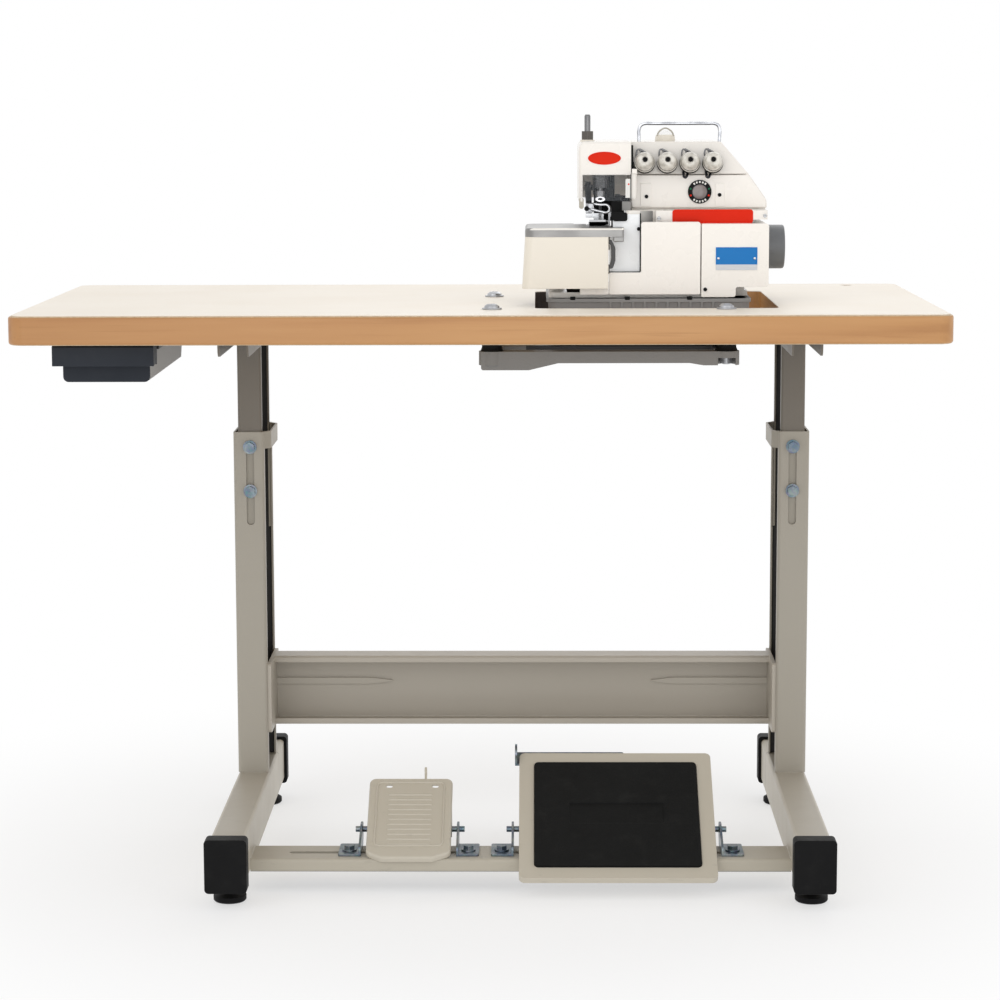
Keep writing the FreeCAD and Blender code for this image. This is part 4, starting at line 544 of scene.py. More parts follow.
def shape_with(piece, kind, **settings):
    """Adds one modifier and applies it."""
    hold(piece)
    made = piece.modifiers.new(kind, kind)
    for key, value in settings.items():
        setattr(made, key, value)
    bpy.ops.object.modifier_apply(modifier=made.name)


def smooth(piece, angle=40):
    hold(piece)
    bpy.ops.object.shade_smooth_by_angle(angle=math.radians(angle))


def soften(piece, width, segments=2):
    """Rounds the sharp edges and keeps the flats flat."""
    shape_with(piece, "BEVEL", width=width / 1000, segments=segments, limit_method="ANGLE",
               angle_limit=math.radians(35), use_clamp_overlap=True)
    smooth(piece, 50)
    shape_with(piece, "WEIGHTED_NORMAL", keep_sharp=True)


def finish(piece, name, look, body, slot, node=None):
    """Names the piece and gives it its look, its body and the solid that it replaces, if any; the slot is not
    used.
    """
    piece.name = name
    piece.data.materials.clear()
    piece.data.materials.append(FINISHES[look])
    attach(piece, body)
    if node:
        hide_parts(node)


BODY_OF = {node: body for body, nodes in frame["record"]["behaviour"]["bodies"].items() for node in nodes}
SLOT_OF = {part["node"]: part["material_slot"] for part in frame["record"]["subparts"]}


def copy_of(node):
    """A merged copy of a solid, free to be shaped."""
    hold(NODES[node])
    bpy.ops.object.duplicate()
    piece = bpy.context.active_object
    for key in list(piece.keys()):
        del piece[key]
    piece.parent = None
    hold(piece)
    bpy.ops.object.mode_set(mode="EDIT")
    bpy.ops.mesh.select_all(action="SELECT")
    bpy.ops.mesh.remove_doubles(threshold=1e-6)
    bpy.ops.mesh.dissolve_limited(angle_limit=math.radians(0.4))
    bpy.ops.object.mode_set(mode="OBJECT")
    return piece


def stand_in(piece, node, look):
    """Shows a shaped piece in the place of its solid."""
    finish(piece, node + "_shown", look, BODY_OF[node], SLOT_OF[node], node)


def dressed(node, look, width):
    """Shows the solid itself with its edges broken as on the real piece."""
    piece = copy_of(node)
    if width:
        soften(piece, width)
    else:
        smooth(piece)
    stand_in(piece, node, look)


def bevel_edges(piece, test, offset, segments):
    """Rounds the edges whose two ends pass the test."""
    hold(piece)
    bpy.ops.object.mode_set(mode="EDIT")
    bpy.ops.mesh.select_mode(type="EDGE")
    bpy.ops.mesh.select_all(action="DESELECT")
    bpy.ops.object.mode_set(mode="OBJECT")
    spots = piece.data.vertices
    for edge in piece.data.edges:
        first, second = (spots[k].co for k in edge.vertices)
        edge.select = test(first, second)
    bpy.ops.object.mode_set(mode="EDIT")
    bpy.ops.mesh.bevel(offset=offset / 1000, segments=segments)
    bpy.ops.object.mode_set(mode="OBJECT")


def select_faces(piece, test):
    """Selects the faces whose centre and normal pass the test, ready for edit mode."""
    hold(piece)
    for vertex in piece.data.vertices:
        vertex.select = False
    for edge in piece.data.edges:
        edge.select = False
    for face in piece.data.polygons:
        face.select = test(face.center, face.normal)
    bpy.ops.object.mode_set(mode="EDIT")
    bpy.ops.mesh.select_mode(type="FACE")


# Turns that lay a piece drawn along z on another axis
QUARTER = math.pi / 2
AXIS_TURNS = {"x": (0, QUARTER, 0), "y": (-QUARTER, 0, 0), "-y": (QUARTER, 0, 0), "z": (0, 0, 0)}


def turned(axis, start, profile, steps=64):
    """A round piece drawn out ring by ring; the profile is (distance, radius) in millimetres."""
    deselect()
    first, radius = profile[0]
    bpy.ops.mesh.primitive_circle_add(vertices=steps, radius=radius / 1000, fill_type="NGON",
                                      location=(0, 0, first / 1000))
    piece = bpy.context.active_object
    settle(piece)
    bpy.ops.object.mode_set(mode="EDIT")
    bpy.ops.mesh.select_all(action="SELECT")
    for distance, wide in profile[1:]:
        rise = (distance - first) / 1000
        grown = wide / radius
        bpy.ops.mesh.extrude_region_move(TRANSFORM_OT_translate={"value": (0, 0, rise)})
        bpy.ops.transform.resize(value=(grown, grown, 1), center_override=(0, 0, distance / 1000))
        first, radius = distance, wide
    bpy.ops.mesh.select_all(action="SELECT")
    bpy.ops.mesh.normals_make_consistent(inside=False)
    bpy.ops.object.mode_set(mode="OBJECT")
    piece.rotation_euler = AXIS_TURNS[axis]
    piece.location = start
    settle(piece)
    smooth(piece, 32)
    return piece


def slab(low, high, width):
    """A block between two corners with broken edges, ready to be shaped on."""
    deselect()
    bpy.ops.mesh.primitive_cube_add(size=1, location=(low + high) / 2)
    piece = bpy.context.active_object
    piece.scale = high - low
    settle(piece)
    if width:
        soften(piece, width, 3)
    return piece


def sink_field(piece, border, sink):
    """Sinks the front of a plate inside a border left at its edge."""
    select_faces(piece, lambda centre, normal: normal.y < -0.9)
    bpy.ops.mesh.inset(thickness=border / 1000, depth=0)
    bpy.ops.mesh.extrude_region_move(TRANSFORM_OT_translate={"value": (0, sink / 1000, 0)})
    bpy.ops.object.mode_set(mode="OBJECT")


def framed_plate(low, high, border, sink, width):
    """A thin plate that faces the operator, its field sunk inside a raised border."""
    piece = slab(low, high, 0)
    sink_field(piece, border, sink)
    soften(piece, width)
    return piece


def wire(points, radius, closed=False):
    """A bent round wire through the points."""
    curve = bpy.data.curves.new("wire", "CURVE")
    curve.dimensions = "3D"
    curve.bevel_depth = radius / 1000
    curve.bevel_resolution = 3
    curve.resolution_u = 10
    curve.use_fill_caps = True
    line = curve.splines.new("BEZIER")
    line.bezier_points.add(len(points) - 1)
    for spot, point in zip(line.bezier_points, points):
        spot.co = point
        spot.handle_left_type = "AUTO"
        spot.handle_right_type = "AUTO"
    line.use_cyclic_u = closed
    piece = bpy.data.objects.new("wire", curve)
    bpy.context.scene.collection.objects.link(piece)
    hold(piece)
    bpy.ops.object.convert(target="MESH")
    piece = bpy.context.active_object
    smooth(piece, 60)
    return piece


def leaned(piece):
    """Lays a finished piece back with the upper panel."""
    pivot = at(0, PANEL_Y, LEAN_Z)
    turn = Matrix.Rotation(math.radians(-LEAN), 4, "X")
    piece.matrix_world = Matrix.Translation(pivot) @ turn @ Matrix.Translation(-pivot)
    settle(piece)
    return piece


def rounded_slab(low, high, radius):
    """A plate that faces the operator, with round corners and broken edges."""
    piece = slab(low, high, 0)
    bevel_edges(piece, lambda first, second: abs((first - second).normalized().y) > 0.9, radius, 6)
    soften(piece, 0.2)
    return piece


def joined(pieces):
    """Several shaped pieces made one object."""
    deselect()
    for piece in pieces:
        piece.select_set(True)
    bpy.context.view_layer.objects.active = pieces[0]
    bpy.ops.object.join()
    return bpy.context.active_object


# Solids that show, with their look and the width of their broken edges in millimetres
LOOKS = {
    "leg_frame_left": ("stand", 0.7), "leg_frame_right": ("stand", 0.7), "rear_beam": ("beam", 0.7),
    "treadle_bar": ("bar", 0.7), "inner_leg_left": ("inner", 0.7), "inner_leg_right": ("inner", 0.7),
    "foot_end_caps": ("cap", 1.4), "treadle_brackets": ("zinc", 0.4), "bracket_bolts": ("zinc", 0.4),
    "height_clamp_bolts": ("zinc", 0.4), "lift_pedal": ("treadle", 0.5), "treadle_plate": ("treadle", 0.9),
    "treadle_mat": ("rubber", 0.8), "treadle_link": ("zinc", 0.4), "table_top": ("wood", 0.0),
    "table_laminate": ("laminate", 0.4), "drawer_rails": ("black", 0.3), "drawer_tray": ("drawer_tray", 0.6),
    "drawer_front": ("drawer_dark", 1.0), "hanging_frame": ("casting", 1.0),
    "rubber_cushions": ("rubber", 0.6),
    "hanging_bolts": ("tool", 0.4), "oil_pan": ("pan", 0.8), "bed_casting": ("head", 1.2),
    "arm_casting": ("arm", 1.6), "face_cover": ("hood", 0.8), "tension_panel": ("head", 1.4),
    "lower_panel": ("head", 1.4), "front_cover": ("head", 0.9),
    "needle_plate": ("tool", 0.3), "feed_dogs": ("tool", 0.1), "lower_knife": ("tool", 0.1),
    "upper_knife": ("tool", 0.2), "upper_looper": ("tool", 0.5), "lower_looper": ("tool", 0.5),
    "main_shaft": ("tool", 0.4), "needle_bar": ("grey_steel", 0.3), "needle_clamp": ("grey_steel", 0.1),
    "presser_arm": ("tool", 0.5), "presser_foot": ("foot", 0.3), "pressure_screw": ("grey_steel", 0.2),
    "eye_guard": ("clear", 0.3), "chip_guard": ("cap", 0.5),
    # The tension posts take the dark steel look as painted shade behind the knobs.
    "cloth_apron": ("apron", 0.7), "cloth_latch": ("latch", 0.8), "tension_posts": ("dark_steel", 0.1),
    "oil_dome": ("dome", 0.0), "head_screws": ("screw", 0.3),
}
for glide in ("glide_front_left", "glide_rear_left", "glide_front_right", "glide_rear_right"):
    LOOKS[glide] = ("cap", 0.4)
for node, (look, width) in LOOKS.items():
    dressed(node, look, width)


def handwheel():
    """Wheel with its belt groove, and the cap on its hub."""
    grooves = [(0, 24.5), (2, 28), (4, 28), (8, 20.5), (10, 20.5), (14, 28), (16, 28), (17, 22.5), (19, 22.5)]
    rim = [(21, 28.4), (21.6, 29.2), (23, 29.5), (51, 29.5), (53, 29), (54, 27.5), (54, 21.5), (53, 20.6)]
    dish = [(49, 18.5), (48.2, 16), (48, 12), (48, 8.2)]
    wheel = turned("x", at(WHEEL_X, *SHAFT), grooves + rim + dish, 96)
    finish(wheel, "handwheel_shown", "wheel", "drive", "wheel_grey", "handwheel")
    hub = [(0, 10), (2.6, 10), (3.4, 9.2), (3.4, 6.4), (2.2, 5.6), (2.2, 2)]
    cap = turned("x", at(WHEEL_X + 47.5, *SHAFT), hub, 48)
    finish(cap, "handwheel_cap", "dark_steel", "drive", "wheel_grey")


def on_panel(x, profile, steps=64):
    """A round piece that stands square on the leaned panel at one knob's place."""
    return leaned(turned("-y", at(x, PANEL_Y, KNOB_Z), profile, steps))


def tension_knobs():
    """Pearl knobs with a dark socket and a dark ring of painted shade in the turned groove, each over a disc
    painted black as the shade round the knob.
    """
    skirt = [(13, 10.5), (13.4, 12.7), (14.2, 13.4), (17.2, 13.5), (17.9, 12.8)]
    neck = [(18.5, 11.9), (19.2, 11.8), (19.9, 12.3)]
    crown = [(24, 11.9), (28.5, 10.9), (31, 9.8), (32.5, 8.5), (33, 7.2), (33, 4.0), (31.6, 3.2)]
    groove = [(17.5, 11.5), (17.6, 12.9), (18.4, 12.4), (19.1, 12.2), (19.2, 11.5)]
    disc = [(8.6, 9), (8.8, 13.4), (9.6, 14), (11.6, 14), (12.3, 13.6), (12.4, 9)]
    hole = [(31, 3.0), (33.7, 3.0), (34, 2.8), (34, 2.0), (33.6, 1.6)]
    for k, x in enumerate(KNOB_XS, 1):
        name = "tension_knob_%d" % k
        finish(on_panel(x, skirt + neck + crown), name + "_shown", "pearl", name, "pearl_plastic", name)
        finish(on_panel(x, groove), name + "_groove", "dark_steel", name, "pearl_plastic")
        finish(on_panel(x, disc), "tension_disc_%d" % k, "cap", "table", "chrome")
        finish(on_panel(x, hole, 32), name + "_socket", "cap", name, "black_plastic")


def hook_wire(x, line, radius):
    """A wire on the leaned panel, its points given from one knob's place."""
    points = [at(x + across, PANEL_Y + back, KNOB_Z + up) for across, back, up in line]
    return leaned(wire(points, radius))


def tension_hooks():
    """Sprung wire thread guides over the discs, and a lower pair at the right."""
    rise = [(-9, 0.5, 5), (-10, -7, 9), (-10.4, -9, 15), (-8, -9.4, 19)]
    fall = [(-5, -9, 16), (-6, -7, 9), (-6, 0.5, 6)]
    arm = [(-7, -9.4, 19), (-2, -9, 16.5), (3.4, -7, 12.5), (4, 0.5, 9)]
    lower = [(-8, 0.5, -7), (-8.4, -7, -13), (-6.4, -9, -19), (-3.6, -8, -16), (-3.2, 0.5, -9)]
    for k, x in enumerate(KNOB_XS, 1):
        hook = joined([hook_wire(x, rise + fall, 1.1), hook_wire(x, arm, 1.6)])
        finish(hook, "thread_hook_%d" % k, "grey_steel", "table", "chrome")
        if k > 2:
            finish(hook_wire(x, lower, 1.7), "thread_hook_low_%d" % k, "dark_steel", "table", "chrome")


def badges():
    """Bare badges where such heads carry their plates."""
    thick = 0.8
    deselect()
    bpy.ops.mesh.primitive_cylinder_add(vertices=72, radius=1, depth=1, rotation=AXIS_TURNS["-y"],
                                        location=at(161.8, FACE_Y - thick / 2, 957))
    oval = bpy.context.active_object
    oval.scale = Vector((21.7, 8.5, thick)) / 1000
    settle(oval)
    sink_field(oval, 1.1, 0.3)
    soften(oval, 0.15)
    finish(oval, "oval_badge", "red", "table", "enamel")
    band = rounded_slab(at(250.5, BED_Y - thick, 872), at(356.5, BED_Y, 890.6), 4.0)
    finish(band, "front_band", "red", "table", "enamel")
    plate = framed_plate(at(306.6, COVER_Y - thick, 812.2), at(360.9, COVER_Y, 842), 0.8, 0.25, 0.15)
    finish(plate, "data_plate", "plate", "table", "enamel")
    head = [(0, 1.7), (0.7, 1.6), (1.1, 1.1), (1.3, 0.4)]
    for x in (310, 357.5):
        rivet = turned("-y", at(x, COVER_Y - thick / 2, 827.5), head, 24)
        finish(rivet, "data_plate_rivet_%d" % x, "chrome", "table", "zinc")


def oil_window():
    """Round sight window with a black ring, a steel rim and marks round it."""
    centre = at(WINDOW_X, PANEL_Y, WINDOW_Z)
    ring = turned("-y", centre, [(0, 15.6), (1.8, 15.6), (2.4, 15), (2.4, 10.6), (1.6, 10.0), (1.2, 9.8)], 72)
    finish(ring, "oil_window_ring", "cap", "table", "black_plastic")
    rim = turned("-y", centre, [(1.0, 10.4), (2.6, 10.4), (2.8, 10.0), (2.6, 9.6), (1.4, 9.3)], 72)
    finish(rim, "oil_window_rim", "dark_steel", "table", "chrome")
    glass = turned("-y", centre, [(1.2, 9.7), (2.2, 9.6), (2.6, 7.5), (2.8, 4.5), (2.86, 1.0)], 48)
    finish(glass, "oil_window_glass", "dial", "table", "black_plastic")
    mark_circle = 12.9
    marks = [(angle, "white") for angle in (55, 72, 90, 108, 125, 235, 252, 270, 288, 305)]
    marks += [(18, "green"), (162, "green"), (338, "red"), (202, "red")]
    for angle, look in marks:
        way = math.radians(angle)
        bar = slab(Vector((-1.1, -0.2, -1.3)) / 1000, Vector((1.1, 0.4, 1.3)) / 1000, 0.15)
        bar.rotation_euler = (0, QUARTER - way, 0)
        across = mark_circle * math.cos(way)
        up = mark_circle * math.sin(way)
        bar.location = at(WINDOW_X + across, PANEL_Y - 2.5, WINDOW_Z + up)
        settle(bar)
        finish(bar, "oil_window_mark_%d" % angle, look, "table", "black_plastic")


def panel_pads():
    """Raised pads of the lower panel round its screws."""
    for name, x0, x1 in (("left", 209.8, 224.2), ("right", 309.2, 321.5)):
        pad = slab(at(x0, PANEL_Y - 0.9, 893), at(x1, PANEL_Y + 0.2, 923.5), 0.7)
        finish(pad, "panel_pad_" + name, "head", "table", "enamel")


def looper_chamber():
    """Pale sheet of the looper chamber, dark strips of painted shade along its gaps and beside the hood,
    catch pin, chip flap and a slab of painted shade in the recess.
    """
    y = CHAMBER_Y
    sheet = slab(at(168.4, y, 784), at(208.4, y + 1, 884.6), 0)
    corner = slab(at(160, y - 7, 867.4), at(172.3, y + 8, 890), 0)
    shape_with(sheet, "BOOLEAN", object=corner, operation="DIFFERENCE", solver="EXACT")
    bpy.data.objects.remove(corner)
    soften(sheet, 0.3)
    finish(sheet, "chamber_sheet", "chamber", "table", "enamel")
    # Painted shade: black strips where the gaps round the chamber sheet fall in shadow.
    side = slab(at(207.6, y - 1.4, 806.4), at(209.2, y, 886), 0.3)
    foot = slab(at(166, y - 1.4, 806.4), at(208, y, 809.6), 0.3)
    finish(joined([side, foot]), "chamber_gap_shade", "rubber", "table", "black_rubber")
    # Painted shade: a black strip in the gap between the hood and the panel.
    hood_shade_strip = slab(at(196.6, FACE_Y + 1.5, 939), at(199.8, PANEL_Y + 0.5, 974), 0.4)
    finish(hood_shade_strip, "hood_gap_shade", "rubber", "table", "black_rubber")
    pin = turned("-y", at(206.2, y, 865.5), [(0, 2.4), (6, 2.4), (7.2, 1.4), (7.4, 0.5)], 24)
    finish(pin, "cover_catch_pin", "cap", "table", "black_plastic")
    flap = rounded_slab(at(171.6, y - 2.6, 875.6), at(191.3, y, 887.2), 3.2)
    finish(flap, "chip_guard_flap", "cap", "table", "black_plastic")
    # Painted shade: a grey slab standing in for the shaded recess in the bed.
    window = slab(at(205.6, BED_Y + 0.6, 872), at(225, BED_Y + 1.6, 888.6), 0.2)
    finish(window, "bed_recess_shade", "shaded_recess", "table", "enamel")


def pan_stops():
    """Rubber stops on the rim of the pan below the front cover."""
    half = 3.5
    for k, x in enumerate((119.5, 191.0, 272.7), 1):
        stop = slab(at(x - half, COVER_Y - 0.5, 773.2), at(x + half, COVER_Y + 2.6, 777.8), 0.8)
        finish(stop, "pan_stop_%d" % k, "rubber", "table", "black_rubber")


def presser_fittings():
    """Finger wire of the presser with its block and knob, and the toe of the foot."""
    root = NEEDLE_Y + 6
    lower = [(143, root, 889), (141.5, -78, 889.6), (141, -90, 890.6), (146, -95, 889.4), (158, -96, 886.4)]
    bend = [(165.5, -95.4, 885.6), (168.9, -93.5, 889.6), (166.5, -91.5, 894.6), (157, -91, 895.4)]
    upper = [(147, -88, 896.4), (144.4, -76, 895), (144, root, 894)]
    loop = [at(*spot) for spot in lower + bend + upper]
    finish(wire(loop, 1.9), "finger_wire", "chrome", "presser", "chrome")
    block = slab(at(140.2, -94.5, 885.8), at(147.4, -87, 897.4), 1.0)
    finish(block, "finger_wire_block", "tool", "presser", "tool_steel")
    profile = [(0, 1.6), (2, 1.6), (2.2, 3.2), (6, 3.3), (6.8, 2.6), (6.9, 0.8)]
    knob = turned("-y", at(138.6, -90, 890.6), profile, 28)
    finish(knob, "finger_wire_knob", "cap", "presser", "black_plastic")
    toe = slab(at(160, NEEDLE_Y - 17, PLATE_Z + 0.8), at(167.4, NEEDLE_Y - 10.6, PLATE_Z + 5.4), 0.8)
    finish(toe, "foot_toe", "cap", "presser", "tool_steel")


def clamp_nut():
    """Oval ring nut on the needle clamp with its dark eye."""
    nut_z = 902.3
    centre = at(NEEDLE_X, NEEDLE_Y - 5.5, nut_z)
    nut = turned("-y", centre, [(0, 6.8), (2.4, 6.8), (3.3, 6.2), (3.3, 3.4), (2.0, 2.8), (1.8, 0.8)], 40)
    squash = Matrix.Diagonal((1, 1, 0.52, 1))
    nut.matrix_world = Matrix.Translation(centre) @ squash @ Matrix.Translation(-centre)
    settle(nut)
    finish(nut, "needle_clamp_nut", "chrome", "needle", "tool_steel")
    bead = [(0, 2.4), (0.6, 2.4), (0.8, 2.1), (0.8, 0.6)]
    eye = turned("-y", at(NEEDLE_X, NEEDLE_Y - 7.2, nut_z), bead, 28)
    finish(eye, "needle_clamp_eye", "cap", "needle", "black_plastic")


def guard_fittings():
    """Thread shield, the strip, dot and bracket of the eye guard, a dark strip of painted shade along its
    edge, and the trim of the nose and hood.
    """
    y = GUARD_Y
    shield = slab(at(149, -38.5, 872), at(177, -36, 937.4), 0.6)
    finish(shield, "thread_shield", "cap", "table", "black_plastic")
    strip = slab(at(189.5, y - 2.3, 905), at(195.8, y - 1.1, 930), 0.4)
    finish(strip, "guard_strip", "white", "eye_guard", "pearl_plastic")
    dot = turned("-y", at(193.7, y - 2.2, 923), [(0, 1.2), (0.4, 1.1), (0.5, 0.6)], 20)
    finish(dot, "guard_strip_dot", "red", "eye_guard", "pearl_plastic")
    # Painted shade: a dark strip for the shadow gap beside the hinge sleeve.
    gap_strip = slab(at(196, y - 2.1, 902), at(197, y - 0.9, 936), 0.2)
    finish(gap_strip, "guard_gap_shade", "latch", "eye_guard", "black_plastic")
    bracket = slab(at(185.2, y + 1.4, 888.4), at(196.8, y + 4, 900.4), 0.6)
    finish(bracket, "guard_bracket", "pan", "table", "enamel")
    nose = rounded_slab(at(128.4, FACE_Y + 0.4, 890.6), at(134.6, FACE_Y + 2.4, 905), 2.6)
    finish(nose, "nose_cover", "treadle", "table", "enamel")
    knuckle = turned("z", at(198.3, PANEL_Y - 12.6, 944), [(0, 1.8), (0.4, 2.2), (7.6, 2.2), (8, 1.8)], 24)
    finish(knuckle, "face_cover_knuckle", "cap", "table", "black_plastic")


def flange_shade_sheet():
    """Dark sheet of painted shade on the flange below the work plate."""
    painted_flange_shade = slab(at(112, -129, 782), at(166, 20, 783.4), 0.4)
    finish(painted_flange_shade, "flange_shade_sheet", "painted_flange_shade", "table", "black_rubber")


def dome_bail():
    """Cap ring and bail of the oil dome."""
    x = NEEDLE_X + 88
    y = NEEDLE_Y + 40
    ring = [(0, 13.5), (1, 13.6), (5.6, 13.3), (7.6, 12.8), (8.6, 12.2), (8.6, 9)]
    finish(turned("z", at(x, y, ARM_TOP), ring, 56), "dome_collar", "apron", "table", "pearl_plastic")
    side = [(11, 7), (9.4, 11.4), (5, 15.6)]
    bail = [at(x - across, y - 7, ARM_TOP + up) for across, up in side]
    bail.append(at(x, y - 7, ARM_TOP + 17.4))
    bail += [at(x + across, y - 7, ARM_TOP + up) for across, up in reversed(side)]
    finish(wire(bail, 1.1), "dome_bail", "bail", "table", "pearl_plastic")


def wire_rail():
    """Chrome rail bent to a bridge over the tension panel."""
    left = NEEDLE_X + 51.5
    right = NEEDLE_X + 159
    y = NEEDLE_Y + 4
    top = ARM_TOP + 24
    shoulder = [(0, -16), (0, -9), (2.4, -2.6), (8, 0), (15, 0)]
    line = [at(left, y, ARM_TOP - 2)]
    line += [at(left + across, y, top + down) for across, down in shoulder]
    line += [at(right - across, y, top + down) for across, down in reversed(shoulder)]
    line.append(at(right - 0.8, y, ARM_TOP - 2))
    stand_in(wire(line, 2.25), "thread_guide", "rail")


def work_plate():
    """Work plate whose sheet rolls over at the front and left edges, and the keeper below its right end."""
    piece = copy_of("cloth_plate")
    corner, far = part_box("cloth_plate")
    reach = 0.0145
    square_end = 0.0028
    skin = 0.0002

    def rolled(first, second):
        outer = all(v.x < corner[0] + reach or v.y < corner[1] + reach for v in (first, second))
        ends = max(first.x, second.x) < far[0] - square_end
        return outer and ends and min(first.z, second.z) > far[2] - skin

    bevel_edges(piece, rolled, 4.0, 5)
    soften(piece, 0.8)
    stand_in(piece, "cloth_plate", "ground")
    keeper = slab(at(172.4, -164, 849.8), at(185.8, -152, 857), 1.2)
    finish(keeper, "plate_keeper", "ground", BODY_OF["cloth_plate"], SLOT_OF["cloth_plate"])


def lowered_cover():
    """Belt cover with its top just below that of the front cover."""
    top_band = 0.0062
    drop = 0.0041
    piece = copy_of("belt_cover")
    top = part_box("belt_cover")[1][2]
    hold(piece)
    bpy.ops.object.mode_set(mode="EDIT")
    bpy.ops.mesh.select_mode(type="VERT")
    bpy.ops.mesh.select_all(action="DESELECT")
    bpy.ops.object.mode_set(mode="OBJECT")
    for vertex in piece.data.vertices:
        vertex.select = vertex.co.z > top - top_band
    bpy.ops.object.mode_set(mode="EDIT")
    bpy.ops.transform.translate(value=(0, 0, -drop))
    bpy.ops.object.mode_set(mode="OBJECT")
    soften(piece, 1.0)
    stand_in(piece, "belt_cover", "head")


def pedal_bead():
    """Pressed bead round the field of the small pedal."""
    left, right, front, back = -143.0, -53.0, -56.0, 62.0
    corners = ((left, front, 1, 1), (right, front, -1, 1), (right, back, -1, -1), (left, back, 1, -1))
    bend = ((0, 14), (0, 7), (2, 2), (7, 0), (14, 0))
    line = []
    for k, (x, y, way_x, way_y) in enumerate(corners):
        spots = [Vector((x + across * way_x, y + along * way_y, 0)) / 1000 for across, along in bend]
        line += spots if k % 2 == 0 else spots[::-1]
    bead = wire(line, 1.5, closed=True)
    hub = Matrix.Translation((0, 0, PEDAL_DROP / 1000))
    turn = Matrix.Rotation(math.radians(PEDAL_TILT), 4, "X")
    bead.matrix_world = Matrix.Translation(at(0, *PEDAL_PIVOT)) @ turn @ hub
    settle(bead)
    finish(bead, "pedal_bead", "treadle", BODY_OF["lift_pedal"], SLOT_OF["lift_pedal"])


def screw_washer():
    """Pale washer below the lock nut of the pressure screw."""
    ring = [(0, 9.8), (1.6, 9.8), (2.6, 9.2), (2.8, 8.6), (2.8, 7.8)]
    finish(turned("z", at(140, -60, ARM_TOP), ring, 48), "lock_washer", "apron", "table", "enamel")


def weld_bead(start, end, radius):
    """A rippled run of weld from one point to another."""
    ripple = 2.4
    length = (end - start).length * 1000
    count = max(4, int(length / ripple))
    profile = [(length * k / count, radius * (1.0 if k % 2 else 0.72)) for k in range(count + 1)]
    bead = turned("z", Vector(), profile, 10)
    bead.rotation_euler = (end - start).to_track_quat("Z", "Y").to_euler()
    bead.location = start
    settle(bead)
    return bead


def welds():
    """Welds of the uprights on their foot rails and of the bar between the rails."""
    for side, x0, x1 in (("left", -347, -314), ("right", 414, 447)):
        for end, y in (("front", 58), ("rear", 188)):
            bead = weld_bead(at(x0, y, RAIL_TOP), at(x1, y, RAIL_TOP), 1.7)
            finish(bead, "leg_weld_%s_%s" % (end, side), "stand", "stand", "stand_paint")
    for side, x in (("left", -306), ("right", 406)):
        bead = weld_bead(at(x, -243, BAR_TOP), at(x, -177, BAR_TOP), 1.4)
        finish(bead, "bar_weld_" + side, "stand", "stand", "stand_paint")


def under_screws():
    """Pan head screws of the table bearers, seen from below."""
    head = [(0, 4.4), (-1.6, 4.1), (-2.6, 3.0), (-2.6, 1.2), (-1.4, 1.0)]
    spots = [(x, y) for x in (-329, 429) for y in (-135, -60, 20, 200, 240)]
    for k, (x, y) in enumerate(spots):
        screw = turned("z", at(x, y, BEARER_UNDER), head, 20)
        finish(screw, "bearer_screw_%d" % k, "zinc", "table", "zinc")


def hatch_screws():
    """Screws at the corners of the rear hatch."""
    head = [(0, 3.2), (1.2, 3.1), (1.7, 2.4), (1.7, 1.0), (0.9, 0.8)]
    spots = [(x, z) for z in (906, 958) for x in (222, 302)]
    for k, (x, z) in enumerate(spots):
        screw = turned("y", at(x, HATCH_Y, z), head, 24)
        finish(screw, "hatch_screw_%d" % k, "dark_steel", "table", "zinc")


handwheel()
tension_knobs()
tension_hooks()
badges()
oil_window()
panel_pads()
looper_chamber()
pan_stops()
presser_fittings()
clamp_nut()
guard_fittings()
flange_shade_sheet()
dome_bail()
wire_rail()
work_plate()
lowered_cover()
pedal_bead()
screw_washer()
welds()
under_screws()
hatch_screws()


def stage_floor():
    """Pale floor that fades into the white around it and keeps the shadow."""
    deselect()
    bpy.ops.mesh.primitive_plane_add(size=30, location=(0, 0, -0.0005))
    floor = bpy.context.active_object
    settle(floor)
    floor.name = "floor"
    made = Finish("floor_white", Roughness=0.9, Base_Color=(0.95, 0.95, 0.95, 1))
    reach = made.node("ShaderNodeVectorMath", {"operation": "LENGTH"}, {0: made.place}, "Value")
    far = reach.step(0.45, 1.1) * 0.45 + 0.55
    glow = made.node("ShaderNodeEmission", {}, {"Color": (1, 1, 1, 1), "Strength": 1.0})
    own = Signal(made, made.shader.outputs[0])
    shown = made.node("ShaderNodeMixShader", {}, {0: far, 1: own, 2: glow})
    output = made.tree.nodes["Material Output"]
    made.tree.links.new(shown.socket, output.inputs["Surface"])
    floor.data.materials.append(made.material)


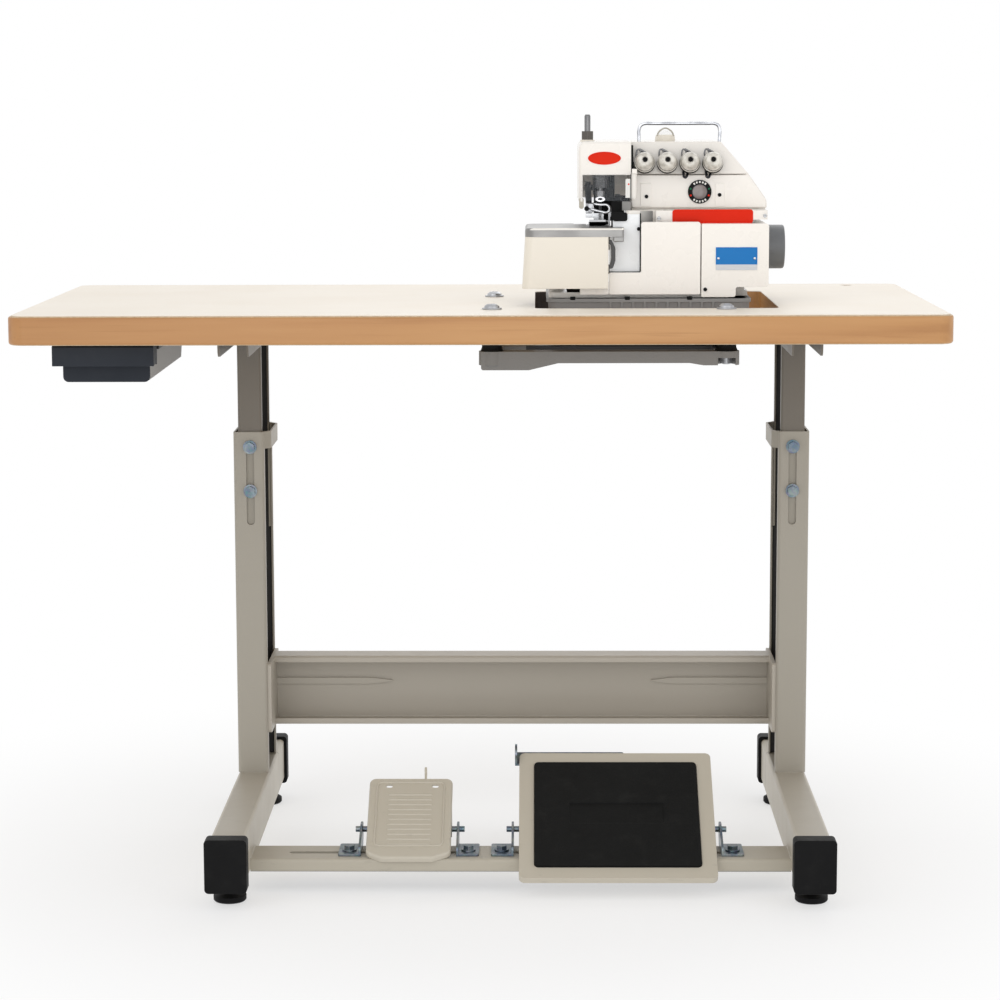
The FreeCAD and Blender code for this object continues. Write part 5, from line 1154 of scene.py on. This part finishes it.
def studio():
    """White surround for the eye and the reflections, softer light for the surfaces, and four lamps."""
    world = bpy.data.worlds.new("studio")
    bpy.context.scene.world = world
    world.use_nodes = True
    tree = world.node_tree
    tree.nodes.clear()
    path = tree.nodes.new("ShaderNodeLightPath")
    seen = tree.nodes.new("ShaderNodeBackground")
    seen.inputs["Color"].default_value = (1, 1, 1, 1)
    seen.inputs["Strength"].default_value = 1.0
    light = tree.nodes.new("ShaderNodeBackground")
    light.inputs["Color"].default_value = (1, 1, 1, 1)
    light.inputs["Strength"].default_value = 0.8
    mixed = tree.nodes.new("ShaderNodeMixShader")
    output = tree.nodes.new("ShaderNodeOutputWorld")
    direct = tree.nodes.new("ShaderNodeMath")
    direct.operation = "MAXIMUM"
    tree.links.new(path.outputs["Is Camera Ray"], direct.inputs[0])
    tree.links.new(path.outputs["Is Glossy Ray"], direct.inputs[1])
    tree.links.new(direct.outputs[0], mixed.inputs[0])
    tree.links.new(light.outputs[0], mixed.inputs[1])
    tree.links.new(seen.outputs[0], mixed.inputs[2])
    tree.links.new(mixed.outputs[0], output.inputs["Surface"])
    middle = Vector((0.05, 0, 0.6))
    lamps = [("key", (-2.2, -3.2, 3.2), 17, 2.4), ("fill", (2.6, -3.0, 1.8), 9, 2.2)]
    lamps += [("front", (-0.3, -4.4, 0.7), 26, 2.6), ("back", (0.6, 2.6, 2.8), 14, 2.4)]
    for name, spot, power, size in lamps:
        lamp = bpy.data.lights.new(name, "AREA")
        lamp.energy = power
        lamp.size = size
        holder = bpy.data.objects.new(name, lamp)
        bpy.context.scene.collection.objects.link(holder)
        holder.location = spot
        aim = middle - Vector(spot)
        holder.rotation_euler = aim.to_track_quat("-Z", "Y").to_euler()


def camera():
    """The photograph's own viewpoint: place in metres, angles in degrees, lens in millimetres."""
    spot = (0.0727, -3.88925, 1.03988)
    swing = 0.754
    down = 8.051
    lean = -0.165
    view = bpy.data.cameras.new("camera")
    view.sensor_width = 36
    view.lens = 103.046
    holder = bpy.data.objects.new("camera", view)
    bpy.context.scene.collection.objects.link(holder)
    turn = Matrix.Rotation(math.radians(swing), 4, "Z")
    pitch = Matrix.Rotation(math.radians(90 - down), 4, "X")
    roll = Matrix.Rotation(math.radians(lean), 4, "Z")
    holder.matrix_world = Matrix.Translation(spot) @ turn @ pitch @ roll
    bpy.context.scene.camera = holder


stage_floor()
studio()
camera()
bpy.context.scene.view_settings.view_transform = "Standard"

bpy.context.view_layer.update()
